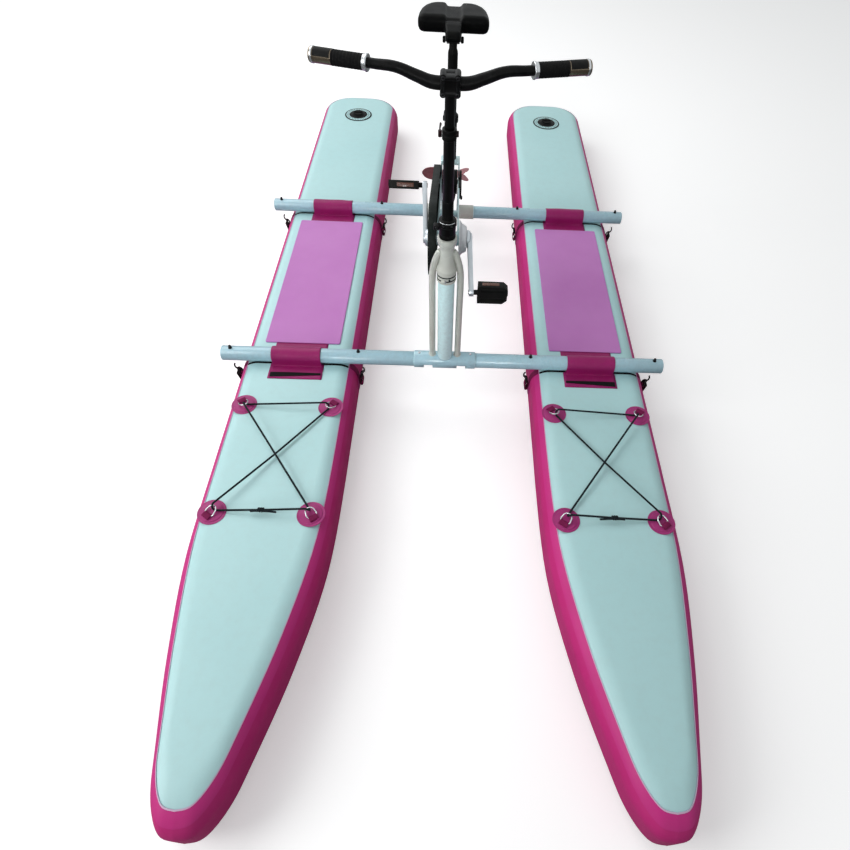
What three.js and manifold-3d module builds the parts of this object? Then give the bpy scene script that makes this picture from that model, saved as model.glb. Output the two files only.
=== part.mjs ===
// A pedal-driven water bike that rides on two inflatable pontoons.
// Millimetres. +X is the rider's left, +Y the stern, +Z up. The origin lies on the
// ground under the middle of the pontoons.

import * as THREE from 'three';
import { mergeVertices } from 'three/addons/utils/BufferGeometryUtils.js';
import Module from 'manifold-3d';

const wasm = await Module();
wasm.setup();

// Shared clearances and step counts
const SEAT_GAP = 0.35;
const OVERRUN = 5;
const ROUND_STEPS = 18;
const SMALL_STEPS = 10;
const CORNER_STEPS = 4;
const MERGE_SHARE = 1e-6;

// Pontoons
const PONTOON_LENGTH = 3390;
const PONTOON_WIDTH = 392;
const PONTOON_THICKNESS = 180;
const PONTOON_SPACING = 1000;
const PONTOON_SKIN = 2;
const SHOULDER_RADIUS = 62;
const SHOULDER_STEPS = 4;
const BOW_TAPER = 950;
const BOW_SPLAY = 34;
const BOW_SLOPE_SHARE = 2;
const BOW_STEPS = 10;
const STERN_CORNER = 150;
const STERN_STEPS = 5;
// Each pair is a share of the taper from the tip, then a share of the half width
const BOW_OUTLINE_SHARES = [
  [0, 0],
  [0.012, 0.2],
  [0.07, 0.38],
  [0.163, 0.51],
  [0.39, 0.763],
  [0.67, 0.965],
  [1, 1],
];

// Cross tubes, measured from the middle of the pontoons
const REAR_TUBE_Y = 543;
const TUBE_PITCH = 893;
const TUBE_SPAN = 1500;
const TUBE_RADIUS = 25;
const TUBE_WALL = 2;
const TUBE_PLUG = 10;

// Spring buttons that keep the pontoons in place along the tubes
const BUTTON_FROM_PONTOON = 12;
const BUTTON_FROM_TUBE_END = 31;
const BUTTON_RADIUS = 4.5;
const BUTTON_PROUD = 11;
const BUTTON_FLANGE_RADIUS = 7;
const BUTTON_FLANGE = 1.5;
const BUTTON_DOME = 2;

// Fabric sleeves that hold the tubes on the pontoons
const SLEEVE_WIDTH = 165;
const SLEEVE_FLAP = 120;
const SLEEVE_FABRIC = 2;
const SLEEVE_WRAP = 3;

// Deck pads
const PAD_WIDTH = 260;
const PAD_THICKNESS = 4;
const PAD_CORNER = 6;
const PAD_FROM_REAR_TUBE = 72;
const PAD_FROM_FRONT_TUBE = 83;

// Valves
const VALVE_FROM_STERN = 244;
const VALVE_PATCH_RADIUS = 70;
const VALVE_PATCH = 2;
const VALVE_BOSS_RADIUS = 31;
const VALVE_BOSS = 7;
const VALVE_THROAT_RADIUS = 15;
const VALVE_THROAT_DEPTH = 30;
const VALVE_BORE_RADIUS = 11;
const VALVE_CAP_RADIUS = 26;
const VALVE_CAP = 7;
const VALVE_CAP_PLUG = 5;
const VALVE_KEY_WIDTH = 7;
const VALVE_KEY_HEIGHT = 5;

// Lashing patches with their rings, and the elastic cord between them
const PATCH_RADIUS = 40;
const PATCH_THICKNESS = 2.4;
const PATCH_HALF_SPREAD_X = 138;
const PATCH_REAR_FROM_FRONT_TUBE = 202;
const PATCH_PITCH_Y = 392;
const TAB_WIDTH = 26;
const TAB_LENGTH = 20;
const TAB_HEIGHT = 7;
const RING_RADIUS = 13;
const RING_WIRE = 2.4;
const RING_TILT_DEG = 22;
const RING_SIDES = 5;
const CORD_RADIUS = 3;
const CORD_CORNER = 14;
const CORD_OVER_RING = 12;
const CORD_UNDER_RING = 8;
const CORD_SETBACK = 2.2;
const CORD_LIFT = 1.2;
const CORD_CORNER_STEPS = 8;
const CORD_SIDES = 7;
const CORD_CROSSING_RISE = 4;
const KNOT_RADIUS = 8;

// Front frame: socket, column, side tubes and head tube
const SOCKET_WALL = 3.5;
const FRONT_SOCKET_WIDTH = 206;
const WINDOW_WIDTH = 30;
const WINDOW_FROM_MIDDLE = 41;
const COLUMN_RADIUS = 24;
const COLUMN_WALL = 2.5;
const COLUMN_HEIGHT = 358;
const SIDE_TUBE_RADIUS = 9;
const SIDE_TUBE_X = 42;
const SIDE_TUBE_BEND_HEIGHT = 372;
const SIDE_TUBE_TOP_HEIGHT = 466;
const SIDE_TUBE_TOP_X = 18;
const SIDE_TUBE_STEPS = 8;
const COLLAR_HEIGHT = 29;
const COLLAR_RADIUS = 28.5;
const COLLAR_EAR_REACH = 37;
const COLLAR_EAR_WIDTH = 11;
const COLLAR_EAR_ANGLE_DEG = -105;
const HEAD_HEIGHT = 130;
const HEAD_FOOT_RADIUS = 31;
const HEAD_NECK_RADIUS = 21;
const HEAD_RIM_RADIUS = 28;
const HEAD_RIM_HEIGHT = 14;
const HEAD_NECK_SHARE = 0.52;
const HEAD_SHOULDER_SHARE = 0.2;

// Stem and handlebar, heights above the deck
const STEM_RADIUS = 14.3;
const STEM_WALL = 1.4;
const STEM_TOP_HEIGHT = 820;
const STEM_FOOT_HEIGHT = 290;
const CLAMP_RADIUS = 24.5;
const CLAMP_HEIGHT = 40;
const CLAMP_FLANGE_RADIUS = 27;
const CLAMP_FLANGE = 14;
const CLAMP_NECK_RADIUS = 17;
const CLAMP_NECK = 58;
const STEM_COLLAR_RADIUS = 18;
const STEM_COLLAR = 26;
const POST_RADIUS = 12.5;
const POST_FOOT_HEIGHT = 620;
const BAR_HEIGHT = 923;
const BAR_HEAD_WIDTH = 46;
const BAR_HEAD_DEPTH = 50;
const BAR_HEAD_HEIGHT = 50;
const BAR_CENTRE_RADIUS = 15.9;
const BAR_END_RADIUS = 11.15;
const BAR_SPAN = 628;
const BAR_RISE = 26;
const BAR_SWEEP = 51;
const BAR_STEPS = 18;
// Shares of the half span, of the sweep back and of the rise, from the middle outwards
const BAR_SHARES = [
  [0.13, 0, 0],
  [0.24, 0.05, 0.4],
  [0.39, 0.16, 0.95],
  [0.54, 0.32, 1],
  [0.76, 0.64, 1],
  [1, 1, 1],
];
const BAR_SLEEVE_HALF = 36;
const GRIP_LENGTH = 134;
const GRIP_RADIUS = 17;
const GRIP_FLANGE_RADIUS = 20;
const GRIP_FLANGE = 5;

// Quick-release levers
const LEVER_PIN_RADIUS = 4.5;
const LEVER_PIN_LENGTH = 16;
const LEVER_LENGTH = 46;
const LEVER_THICKNESS = 5;
const LEVER_HEIGHT = 10;

// Crank, measured from the column axis and the deck
const CRANK_AXIS_BEHIND = 162;
const CRANK_AXIS_HEIGHT = 400;
const CRANK_LENGTH = 170;
const CRANK_ANGLE_DEG = 32;
const CRANK_THICKNESS = 14;
const CRANK_BOSS_RADIUS = 18;
const CRANK_END_RADIUS = 13;
const CRANK_INNER_X = 70;
const SPINDLE_RADIUS = 8.2;
const PEDAL_WIDTH = 92;
const PEDAL_LENGTH = 70;
const PEDAL_THICKNESS = 25;
const PEDAL_RIM = 10;
const PEDAL_CORNER = 14;
const PEDAL_AXLE_RADIUS = 6;
const PEDAL_BOSS_RADIUS = 8;
const PEDAL_OFFSET = 12;
const PEDAL_RIGHT_TILT_DEG = -30;
const PEDAL_LEFT_TILT_DEG = 94;
const BOTTOM_SHELL_RADIUS = 21;
const COVER_FOOT_RADIUS = 56;
const COVER_TOP_RADIUS = 36;
const COVER_WALL = 3;

// Chain drive
const CHAIN_PLANE_X = -49;
const CHAINRING_RADIUS = 94;
const CHAINRING_THICKNESS = 3;
const CHAINRING_HOLES = 5;
const CHAINRING_HOLE_SHARE = 0.2;
const CHAINRING_HOLE_RING_SHARE = 0.6;
const SPROCKET_RADIUS = 31;
const SPROCKET_THICKNESS = 4;
const CHAIN_WIDTH = 7;
const CHAIN_DEPTH = 8;
const CASE_FRONT_RADIUS = 112;
const CASE_REAR_RADIUS = 56;
const CASE_OUTER_X = -58;
const CASE_WALL = 2.5;
const CASE_HUB_HOLE_RADIUS = 14;

// Rear frame
const PLATE_INNER_X = 29;
const PLATE_THICKNESS = 5;
const PLATE_HALF_HEIGHT = 19;
const REAR_SOCKET_END_X = 103;
const BEAM_HALF_WIDTH = 20;
const BEAM_FOOT_HEIGHT = 250;
const BEAM_TOP_HEIGHT = 330;
const BRIDGE_RADIUS = 11;
const BRIDGE_SHARE = 0.4;
const SEAT_BRIDGE_HEIGHT = 14;
const SEAT_BRIDGE_CLEARANCE = 5;

// Drive leg, in the pose where it hangs straight down, from its pivot
const PIVOT_AHEAD_OF_REAR_TUBE = 300;
const PIVOT_HEIGHT = 340;
const LEG_REST_DEG = 57;
const LEG_HEAD_RADIUS = 42;
const LEG_HEAD_HALF_WIDTH = 27;
const LEG_NECK_RADIUS = 25;
const LEG_NECK_LENGTH = 92;
const LEG_TUBE_RADIUS = 20;
const LEG_TUBE_START = 52;
const LEG_LENGTH = 640;
const NACELLE_RADIUS = 25;
const NACELLE_AHEAD = 66;
const NACELLE_BEHIND = 48;
// Each pair is a share of the radius, then a share of the length ahead of or behind the leg
const NACELLE_NOSE_SHARES = [[0, 1], [0.5, 0.92], [0.9, 0.6], [1, 0.2]];
const NACELLE_TAIL_SHARE = 0.4;
const INPUT_SHAFT_RADIUS = 8.2;
const HUB_RADIUS = 21;
const HUB_LENGTH = 46;
const HUB_TAPER_SHARES = [[1, 0.5], [0.6, 0.9]];
const BLADE_REACH = 134;
const BLADE_CHORD = 78;
const BLADE_THICKNESS = 4;
const BLADE_PITCH_DEG = 38;
const BLADE_COUNT = 3;
const BLADE_STEPS = 6;
const BLADE_ROOT_SHARE = 0.6;
const BLADE_ROOT_CHORD_SHARE = 0.2;
const BLADE_PLACE_SHARE = 0.4;
// Curve handles of the blade's two edges: shares of the reach and of the chord
const BLADE_LEADING_SHARES = [[0.45, -0.62], [1.04, -0.62]];
const BLADE_TRAILING_SHARES = [[0.96, 0.6], [0.4, 0.5]];

// Seat
const SEAT_POST_AHEAD_OF_REAR_TUBE = 250;
const SEAT_TUBE_RADIUS = 20;
const SEAT_TUBE_TOP_HEIGHT = 560;
const SEAT_POST_RADIUS = 16;
const SEAT_POST_NECK_RADIUS = 12.5;
const SEAT_POST_FOOT_HEIGHT = 440;
const SEAT_POST_NECK_BELOW_SADDLE = 50;
const SEAT_CLAMP_LENGTH = 62;
const SEAT_CLAMP_WIDTH = 44;
const SEAT_CLAMP_DEPTH = 26;
const SADDLE_LENGTH = 218;
const SADDLE_WIDTH = 224;
const SADDLE_BASE_HEIGHT = 805;
const SADDLE_DEPTH = 50;
const SADDLE_REAR_BEHIND_POST = 112;
// Each row is a share of the length from the rear, of the half width, of the depth
// at the crown, and of the depth where the underside starts
const SADDLE_SHARES = [
  [0, 0.5, 0.72, 0.3],
  [0.06, 0.84, 0.9, 0.1],
  [0.2, 1, 1, 0],
  [0.45, 0.99, 1, 0],
  [0.57, 0.9, 0.97, 0.02],
  [0.65, 0.56, 0.93, 0.02],
  [0.74, 0.33, 0.88, 0.04],
  [0.88, 0.27, 0.8, 0.12],
  [0.97, 0.19, 0.7, 0.24],
  [1, 0.1, 0.58, 0.34],
];
const SADDLE_SIDES = 14;
const SADDLE_CHANNEL_SHARE = 0.13;
// Powers that square the cross-section's sides and flatten its top
const SADDLE_EDGE_POWER = 0.6;
const SADDLE_TOP_POWER = 0.7;

// Places worked out from the driving dimensions
const DECK_Z = PONTOON_THICKNESS;
const FRONT_TUBE_Y = REAR_TUBE_Y - TUBE_PITCH;
const TUBE_Z = DECK_Z + SEAT_GAP + SLEEVE_FABRIC + SEAT_GAP + TUBE_RADIUS;
const TUBE_BORE = TUBE_RADIUS - TUBE_WALL;
const SOCKET_BORE = TUBE_RADIUS + SEAT_GAP;
const SOCKET_RADIUS = SOCKET_BORE + SOCKET_WALL;
const COLUMN_TOP = DECK_Z + COLUMN_HEIGHT;
const COLLAR_FOOT = COLUMN_TOP + SEAT_GAP;
const HEAD_FOOT = COLLAR_FOOT + COLLAR_HEIGHT + SEAT_GAP;
const HEAD_TOP = HEAD_FOOT + HEAD_HEIGHT;
const CLAMP_FOOT = HEAD_TOP + SEAT_GAP;
const STEM_BORE = STEM_RADIUS - STEM_WALL;
const STEM_TOP = DECK_Z + STEM_TOP_HEIGHT;
const BAR_Z = DECK_Z + BAR_HEIGHT;
const CRANK_Y = FRONT_TUBE_Y + CRANK_AXIS_BEHIND;
const CRANK_Z = DECK_Z + CRANK_AXIS_HEIGHT;
const PIVOT_Y = REAR_TUBE_Y - PIVOT_AHEAD_OF_REAR_TUBE;
const PIVOT_Z = DECK_Z + PIVOT_HEIGHT;
const PLATE_OUTER_X = PLATE_INNER_X + PLATE_THICKNESS;
const SEAT_POST_Y = REAR_TUBE_Y - SEAT_POST_AHEAD_OF_REAR_TUBE;
const SEAT_TUBE_TOP = DECK_Z + SEAT_TUBE_TOP_HEIGHT;
const SADDLE_BASE_Z = DECK_Z + SADDLE_BASE_HEIGHT;
const BUTTON_INNER_X = PONTOON_SPACING / 2 - PONTOON_WIDTH / 2 - BUTTON_FROM_PONTOON;
const BUTTON_OUTER_X = TUBE_SPAN / 2 - BUTTON_FROM_TUBE_END;
const PAD_LENGTH = TUBE_PITCH - PAD_FROM_REAR_TUBE - PAD_FROM_FRONT_TUBE;
const PATCH_REAR_Y = FRONT_TUBE_Y - PATCH_REAR_FROM_FRONT_TUBE;

// Materials
function paint(color, roughness, metalness = 0) {
  return new THREE.MeshStandardMaterial({ color, roughness, metalness });
}
const deckFabric = paint(0xdff1f2, 0.55);
const wrapFabric = paint(0xa52b72, 0.5);
const padFoam = paint(0xc487c8, 0.8);
const whitePaint = paint(0xe4eceb, 0.3);
const blackPaint = paint(0x16181a, 0.4);
const blackPlastic = paint(0x141516, 0.6);
const blackRubber = paint(0x101011, 0.85);
const steel = paint(0xb9bdc0, 0.3, 0.9);
const silver = paint(0xc9cdd0, 0.35, 0.85);
const bronze = paint(0x9c6a5a, 0.35, 0.8);

// Geometry helpers

const radians = THREE.MathUtils.degToRad;

// A copy whose shared vertices are merged and whose faces point out
function closed(geometry) {
  const bare = geometry.clone();
  bare.deleteAttribute('normal');
  bare.deleteAttribute('uv');
  bare.computeBoundingSphere();
  const merged = mergeVertices(bare, bare.boundingSphere.radius * MERGE_SHARE);
  const place = merged.attributes.position;
  const corner = [new THREE.Vector3(), new THREE.Vector3(), new THREE.Vector3()];
  const faces = [];
  let volume = 0;
  for (let i = 0; i < merged.index.count; i += 3) {
    const [a, b, c] = [0, 1, 2].map((k) => merged.index.getX(i + k));
    if (a === b || b === c || c === a) continue;
    faces.push([a, b, c]);
    [a, b, c].forEach((v, k) => corner[k].fromBufferAttribute(place, v));
    volume += corner[0].dot(corner[1].cross(corner[2]));
  }
  const order = volume < 0 ? faces.map(([a, b, c]) => [a, c, b]) : faces;
  merged.setIndex(order.flat());
  return merged;
}

function solid(geometry) {
  const shape = closed(geometry);
  return new wasm.Manifold(new wasm.Mesh({
    numProp: 3,
    vertProperties: new Float32Array(shape.attributes.position.array),
    triVerts: new Uint32Array(shape.index.array),
  }));
}

function surface(body) {
  const mesh = body.getMesh();
  const geometry = new THREE.BufferGeometry();
  const numbers = new Float32Array(mesh.vertProperties);
  geometry.setAttribute('position', new THREE.BufferAttribute(numbers, 3));
  geometry.setIndex(new THREE.BufferAttribute(new Uint32Array(mesh.triVerts), 1));
  return geometry;
}

const join = (pieces) => surface(pieces.map(solid).reduce((sum, piece) => sum.add(piece)));

const cut = (geometry, cutters) => surface(
  cutters.map(solid).reduce((rest, cutter) => rest.subtract(cutter), solid(geometry)),
);

// A round bar along Z from one height to another
function rod(radius, from, to, steps = ROUND_STEPS) {
  return new THREE.CylinderGeometry(radius, radius, to - from, steps)
    .rotateX(Math.PI / 2)
    .translate(0, 0, (from + to) / 2);
}

// A round bar along X
const rodX = (radius, from, to, steps = ROUND_STEPS) => rod(radius, from, to, steps).rotateY(Math.PI / 2);

// A turned piece about Z, from pairs of radius and height
function turned(profile, steps = ROUND_STEPS) {
  const points = profile.map(([r, z]) => new THREE.Vector2(r, z));
  return new THREE.LatheGeometry(points, steps).rotateX(Math.PI / 2);
}

function block(width, length, height) {
  return new THREE.BoxGeometry(width, length, height);
}

// A flat plate whose outline lies in YZ and whose thickness runs along X
function sidePlate(outline, from, to) {
  const plate = new THREE.ExtrudeGeometry(outline, {
    depth: to - from,
    bevelEnabled: false,
    curveSegments: SMALL_STEPS,
  });
  return plate.applyMatrix4(new THREE.Matrix4().makeBasis(
    new THREE.Vector3(0, 1, 0),
    new THREE.Vector3(0, 0, 1),
    new THREE.Vector3(1, 0, 0),
  )).translate(from, 0, 0);
}

// The outline that a belt would take round two circles, in YZ
function beltOutline(a, radiusA, b, radiusB) {
  const along = Math.atan2(b[1] - a[1], b[0] - a[0]);
  const lean = Math.acos((radiusA - radiusB) / Math.hypot(b[0] - a[0], b[1] - a[1]));
  const outline = new THREE.Shape();
  outline.absarc(a[0], a[1], radiusA, along + lean, along - lean + 2 * Math.PI, false);
  outline.absarc(b[0], b[1], radiusB, along - lean, along + lean, false);
  return outline;
}

function circleOutline(radius, sides) {
  const turn = (k) => 2 * Math.PI * k / sides;
  return new THREE.Shape(Array.from({ length: sides }, (_, k) => (
    new THREE.Vector2(radius * Math.cos(turn(k)), radius * Math.sin(turn(k)))
  )));
}

function sweep(radius, path, steps, sides = SMALL_STEPS) {
  return new THREE.ExtrudeGeometry(circleOutline(radius, sides), { steps, extrudePath: path });
}

// A path through given points that keeps exactly those points when it is swept
class PointPath extends THREE.Curve {
  constructor(points) {
    super();
    this.points = points;
  }

  getPoint(share) {
    const last = this.points.length - 1;
    const k = Math.min(Math.floor(share * last), last - 1);
    return this.points[k].clone().lerp(this.points[k + 1], share * last - k);
  }

  getPointAt(share) {
    return this.getPoint(share);
  }

  getTangentAt(share) {
    const last = this.points.length - 1;
    const k = Math.round(share * last);
    return this.points[Math.min(k + 1, last)].clone().sub(this.points[Math.max(k - 1, 0)]).normalize();
  }
}

// Closed surface through rings of equal length, capped by strips between mirrored points
function loft(rings) {
  const size = rings[0].length;
  const points = rings.flat();
  const index = [];
  for (let row = 0; row < rings.length - 1; row += 1) {
    for (let i = 0; i < size; i += 1) {
      const next = (i + 1) % size;
      const [low, high] = [row * size, (row + 1) * size];
      index.push(low + i, low + next, high + next, low + i, high + next, high + i);
    }
  }
  for (const [base, flip] of [[0, true], [(rings.length - 1) * size, false]]) {
    for (let i = 0; i < size / 2; i += 1) {
      const [a, b, c, d] = [i, i + 1, size - i - 1, (size - i) % size].map((k) => base + k);
      for (const [p, q, r] of [[a, b, c], [a, c, d]]) {
        if (p === q || q === r || r === p) continue;
        if (flip) index.push(r, q, p);
        else index.push(p, q, r);
      }
    }
  }
  const geometry = new THREE.BufferGeometry();
  const numbers = points.flatMap((p) => [p.x, p.y, p.z]);
  geometry.setAttribute('position', new THREE.Float32BufferAttribute(numbers, 3));
  geometry.setIndex(index);
  return geometry;
}

const bike = new THREE.Group();

function place(name, geometry, material, [x, y, z] = [0, 0, 0], parent = bike) {
  const mesh = new THREE.Mesh(closed(geometry), material);
  mesh.name = name;
  mesh.position.set(x, y, z);
  parent.add(mesh);
  return mesh;
}

const SIDES = [['port', 1], ['starboard', -1]];

// Pontoons

const bowCurve = new THREE.SplineCurve(
  BOW_OUTLINE_SHARES.map(([along, half]) => new THREE.Vector2(along, half)),
);

// One ring round the pontoon at a height, drawn in from its widest outline
function pontoonRing(inset, z, side) {
  const half = PONTOON_WIDTH / 2 - inset;
  const tip = -PONTOON_LENGTH / 2 + inset * BOW_SLOPE_SHARE;
  const corner = STERN_CORNER - inset;
  const cornerY = PONTOON_LENGTH / 2 - inset - corner;
  const stations = bowCurve.getPoints(BOW_STEPS).map((share) => (
    [half * share.y, tip + BOW_TAPER * share.x, BOW_SPLAY * (1 - share.x) ** 2]
  ));
  for (let k = 0; k <= STERN_STEPS; k += 1) {
    const turn = Math.PI / 2 * k / STERN_STEPS;
    stations.push([half - corner + corner * Math.cos(turn), cornerY + corner * Math.sin(turn), 0]);
  }
  const right = stations.map(([w, y, splay]) => new THREE.Vector3(side * splay + w, y, z));
  const left = stations.slice(1).reverse().map(([w, y, splay]) => new THREE.Vector3(side * splay - w, y, z));
  return [...right, ...left];
}

function pontoonBody(offset, side) {
  const radius = SHOULDER_RADIUS - offset;
  const rings = [];
  const shoulders = [[SHOULDER_RADIUS, -SHOULDER_STEPS], [PONTOON_THICKNESS - SHOULDER_RADIUS, 0]];
  for (const [middle, start] of shoulders) {
    for (let k = start; k <= start + SHOULDER_STEPS; k += 1) {
      const turn = Math.PI / 2 * k / SHOULDER_STEPS;
      const inset = offset + radius * (1 - Math.cos(turn));
      rings.push(pontoonRing(inset, middle + radius * Math.sin(turn), side));
    }
  }
  return loft(rings);
}

const VALVE_Y = PONTOON_LENGTH / 2 - VALVE_FROM_STERN;
const VALVE_HOLE_RADIUS = VALVE_THROAT_RADIUS + SEAT_GAP;

function hull(side) {
  const hole = rod(VALVE_HOLE_RADIUS, DECK_Z - PONTOON_SKIN - OVERRUN, DECK_Z + OVERRUN)
    .translate(0, VALVE_Y, 0);
  return cut(pontoonBody(0, side), [pontoonBody(PONTOON_SKIN, side), hole]);
}

function deckPad() {
  const [w, l, r] = [PAD_WIDTH / 2, PAD_LENGTH / 2, PAD_CORNER];
  const outline = new THREE.Shape();
  outline.absarc(w - r, l - r, r, 0, Math.PI / 2, false);
  outline.absarc(r - w, l - r, r, Math.PI / 2, Math.PI, false);
  outline.absarc(r - w, r - l, r, Math.PI, 1.5 * Math.PI, false);
  outline.absarc(w - r, r - l, r, 1.5 * Math.PI, 2 * Math.PI, false);
  return new THREE.ExtrudeGeometry(outline, {
    depth: PAD_THICKNESS,
    bevelEnabled: false,
    curveSegments: CORNER_STEPS,
  });
}

// Valve body with its round patch on the deck and its throat through the skin
function valveBody() {
  return turned([
    [VALVE_BORE_RADIUS, -VALVE_THROAT_DEPTH],
    [VALVE_THROAT_RADIUS, -VALVE_THROAT_DEPTH],
    [VALVE_THROAT_RADIUS, 0],
    [VALVE_PATCH_RADIUS, 0],
    [VALVE_PATCH_RADIUS, VALVE_PATCH],
    [VALVE_BOSS_RADIUS, VALVE_PATCH],
    [VALVE_BOSS_RADIUS, VALVE_BOSS],
    [VALVE_BORE_RADIUS, VALVE_BOSS],
    [VALVE_BORE_RADIUS, -VALVE_THROAT_DEPTH],
  ]);
}

function valveCap() {
  const plugRadius = VALVE_BORE_RADIUS - SEAT_GAP;
  const disc = turned([
    [0, -VALVE_CAP_PLUG],
    [plugRadius, -VALVE_CAP_PLUG],
    [plugRadius, 0],
    [VALVE_CAP_RADIUS, 0],
    [VALVE_CAP_RADIUS, VALVE_CAP],
    [0, VALVE_CAP],
  ]);
  const key = block(2 * VALVE_CAP_RADIUS - VALVE_KEY_WIDTH, VALVE_KEY_WIDTH, VALVE_KEY_HEIGHT)
    .translate(0, 0, VALVE_CAP + VALVE_KEY_HEIGHT / 2 - SEAT_GAP);
  return join([disc, key]);
}

// Lashing patch with its webbing tab and ring; the tab lies towards -X
function lashPatch() {
  const disc = rod(PATCH_RADIUS, 0, PATCH_THICKNESS);
  const tabTop = PATCH_THICKNESS + TAB_HEIGHT;
  const tab = block(TAB_LENGTH, TAB_WIDTH, tabTop).translate(-TAB_LENGTH / 2, 0, tabTop / 2);
  const ring = new THREE.TorusGeometry(RING_RADIUS, RING_WIRE, RING_SIDES, SMALL_STEPS)
    .translate(RING_RADIUS, 0, 0)
    .rotateY(-radians(RING_TILT_DEG))
    .translate(-TAB_LENGTH / 2, 0, PATCH_THICKNESS + TAB_HEIGHT / 2);
  return join([disc, tab, ring]);
}

// Where the cord turns in each ring, from the patch's middle: against the ring's far side
const RING_SEAT = 2 * RING_RADIUS - RING_WIRE - CORD_RADIUS - CORD_SETBACK;
const RING_EYE_OUT = -TAB_LENGTH / 2 + RING_SEAT * Math.cos(radians(RING_TILT_DEG));
const RING_EYE_Z = PATCH_THICKNESS + TAB_HEIGHT / 2 + CORD_LIFT
  + RING_SEAT * Math.sin(radians(RING_TILT_DEG));

// The cord comes in over each ring's far side, turns through the ring and leaves under it
function lashCord() {
  const spread = Math.atan2(PATCH_PITCH_Y / 2, PATCH_HALF_SPREAD_X);
  const turnDepth = CORD_CORNER / 2 * Math.cos(spread / 2);
  const eyeX = PATCH_HALF_SPREAD_X - RING_EYE_OUT * Math.cos(spread) + turnDepth * Math.cos(spread / 2);
  const eyeY = PATCH_PITCH_Y / 2 - RING_EYE_OUT * Math.sin(spread) + turnDepth * Math.sin(spread / 2);
  const knot = new THREE.Vector3(0, -eyeY, 0);
  const corners = [[-1, -1], [1, 1], [-1, 1], [1, -1]].map(([sx, sy]) => (
    new THREE.Vector3(sx * eyeX, sy * eyeY, 0)
  ));
  const stops = [
    knot.clone().setX(-KNOT_RADIUS / 4),
    corners[0],
    new THREE.Vector3(0, 0, CORD_CROSSING_RISE),
    corners[1],
    corners[2],
    new THREE.Vector3(0, 0, -CORD_CROSSING_RISE),
    corners[3],
    knot.clone().setX(KNOT_RADIUS / 4),
  ];
  const points = [stops[0]];
  for (let k = 1; k < stops.length - 1; k += 1) {
    if (!corners.includes(stops[k])) {
      points.push(stops[k]);
      continue;
    }
    const into = stops[k].clone().add(stops[k - 1].clone().sub(stops[k]).setLength(CORD_CORNER));
    const out = stops[k].clone().add(stops[k + 1].clone().sub(stops[k]).setLength(CORD_CORNER));
    into.z = CORD_OVER_RING;
    out.z = -CORD_UNDER_RING;
    points.push(...new THREE.QuadraticBezierCurve3(into, stops[k], out).getPoints(CORD_CORNER_STEPS));
  }
  points.push(stops[stops.length - 1]);
  const bead = new THREE.SphereGeometry(KNOT_RADIUS, SMALL_STEPS, CORD_SIDES)
    .translate(knot.x, knot.y, knot.z);
  return join([sweep(CORD_RADIUS, new PointPath(points), points.length - 1, CORD_SIDES), bead]);
}

// Sleeve: a fabric wrap round the tube with a flap glued to the deck before and behind it
function tubeSleeve() {
  const middle = TUBE_Z - DECK_Z - SEAT_GAP;
  const outer = TUBE_RADIUS + SEAT_GAP + SLEEVE_WRAP;
  const half = SLEEVE_FLAP / 2;
  const lean = Math.asin((middle - SLEEVE_FABRIC) / outer);
  const outline = new THREE.Shape();
  outline.moveTo(-half, 0);
  outline.lineTo(half, 0);
  outline.lineTo(half, SLEEVE_FABRIC);
  outline.absarc(0, middle, outer, -lean, Math.PI + lean, false);
  outline.lineTo(-half, SLEEVE_FABRIC);
  const bore = new THREE.Path();
  bore.absarc(0, middle, TUBE_RADIUS + SEAT_GAP, 0, 2 * Math.PI, false);
  outline.holes.push(bore);
  return sidePlate(outline, -SLEEVE_WIDTH / 2, SLEEVE_WIDTH / 2);
}

const padY = REAR_TUBE_Y - PAD_FROM_REAR_TUBE - PAD_LENGTH / 2;
for (const [name, side] of SIDES) {
  const x = side * PONTOON_SPACING / 2;
  place(`hull_${name}`, hull(side), deckFabric, [x, 0, 0]);
  place(`deck_pad_${name}`, deckPad(), padFoam, [x, padY, DECK_Z + SEAT_GAP]);
  place(`valve_${name}`, valveBody(), blackPlastic, [x, VALVE_Y, DECK_Z + SEAT_GAP]);
  place(`valve_cap_${name}`, valveCap(), blackPlastic, [x, VALVE_Y, DECK_Z + 2 * SEAT_GAP + VALVE_BOSS]);
  for (const [end, y] of [['rear', REAR_TUBE_Y], ['front', FRONT_TUBE_Y]]) {
    place(`sleeve_${end}_${name}`, tubeSleeve(), wrapFabric, [x, y, DECK_Z + SEAT_GAP]);
  }
  for (const [end, row] of [['rear', 1], ['front', -1]]) {
    for (const [edge, out] of [['outer', 1], ['inner', -1]]) {
      const patchX = x + side * out * PATCH_HALF_SPREAD_X;
      const patchY = PATCH_REAR_Y - PATCH_PITCH_Y / 2 + row * PATCH_PITCH_Y / 2;
      const spot = [patchX, patchY, DECK_Z + SEAT_GAP];
      const patch = place(`lash_patch_${end}_${edge}_${name}`, lashPatch(), wrapFabric, spot);
      patch.rotation.z = Math.atan2(-row * PATCH_PITCH_Y / 2, -side * out * PATCH_HALF_SPREAD_X);
    }
  }
  const cordMiddle = [x, PATCH_REAR_Y - PATCH_PITCH_Y / 2, DECK_Z + SEAT_GAP + RING_EYE_Z];
  place(`lash_cord_${name}`, lashCord(), blackRubber, cordMiddle);
}

// Cross tubes and their spring buttons

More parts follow.
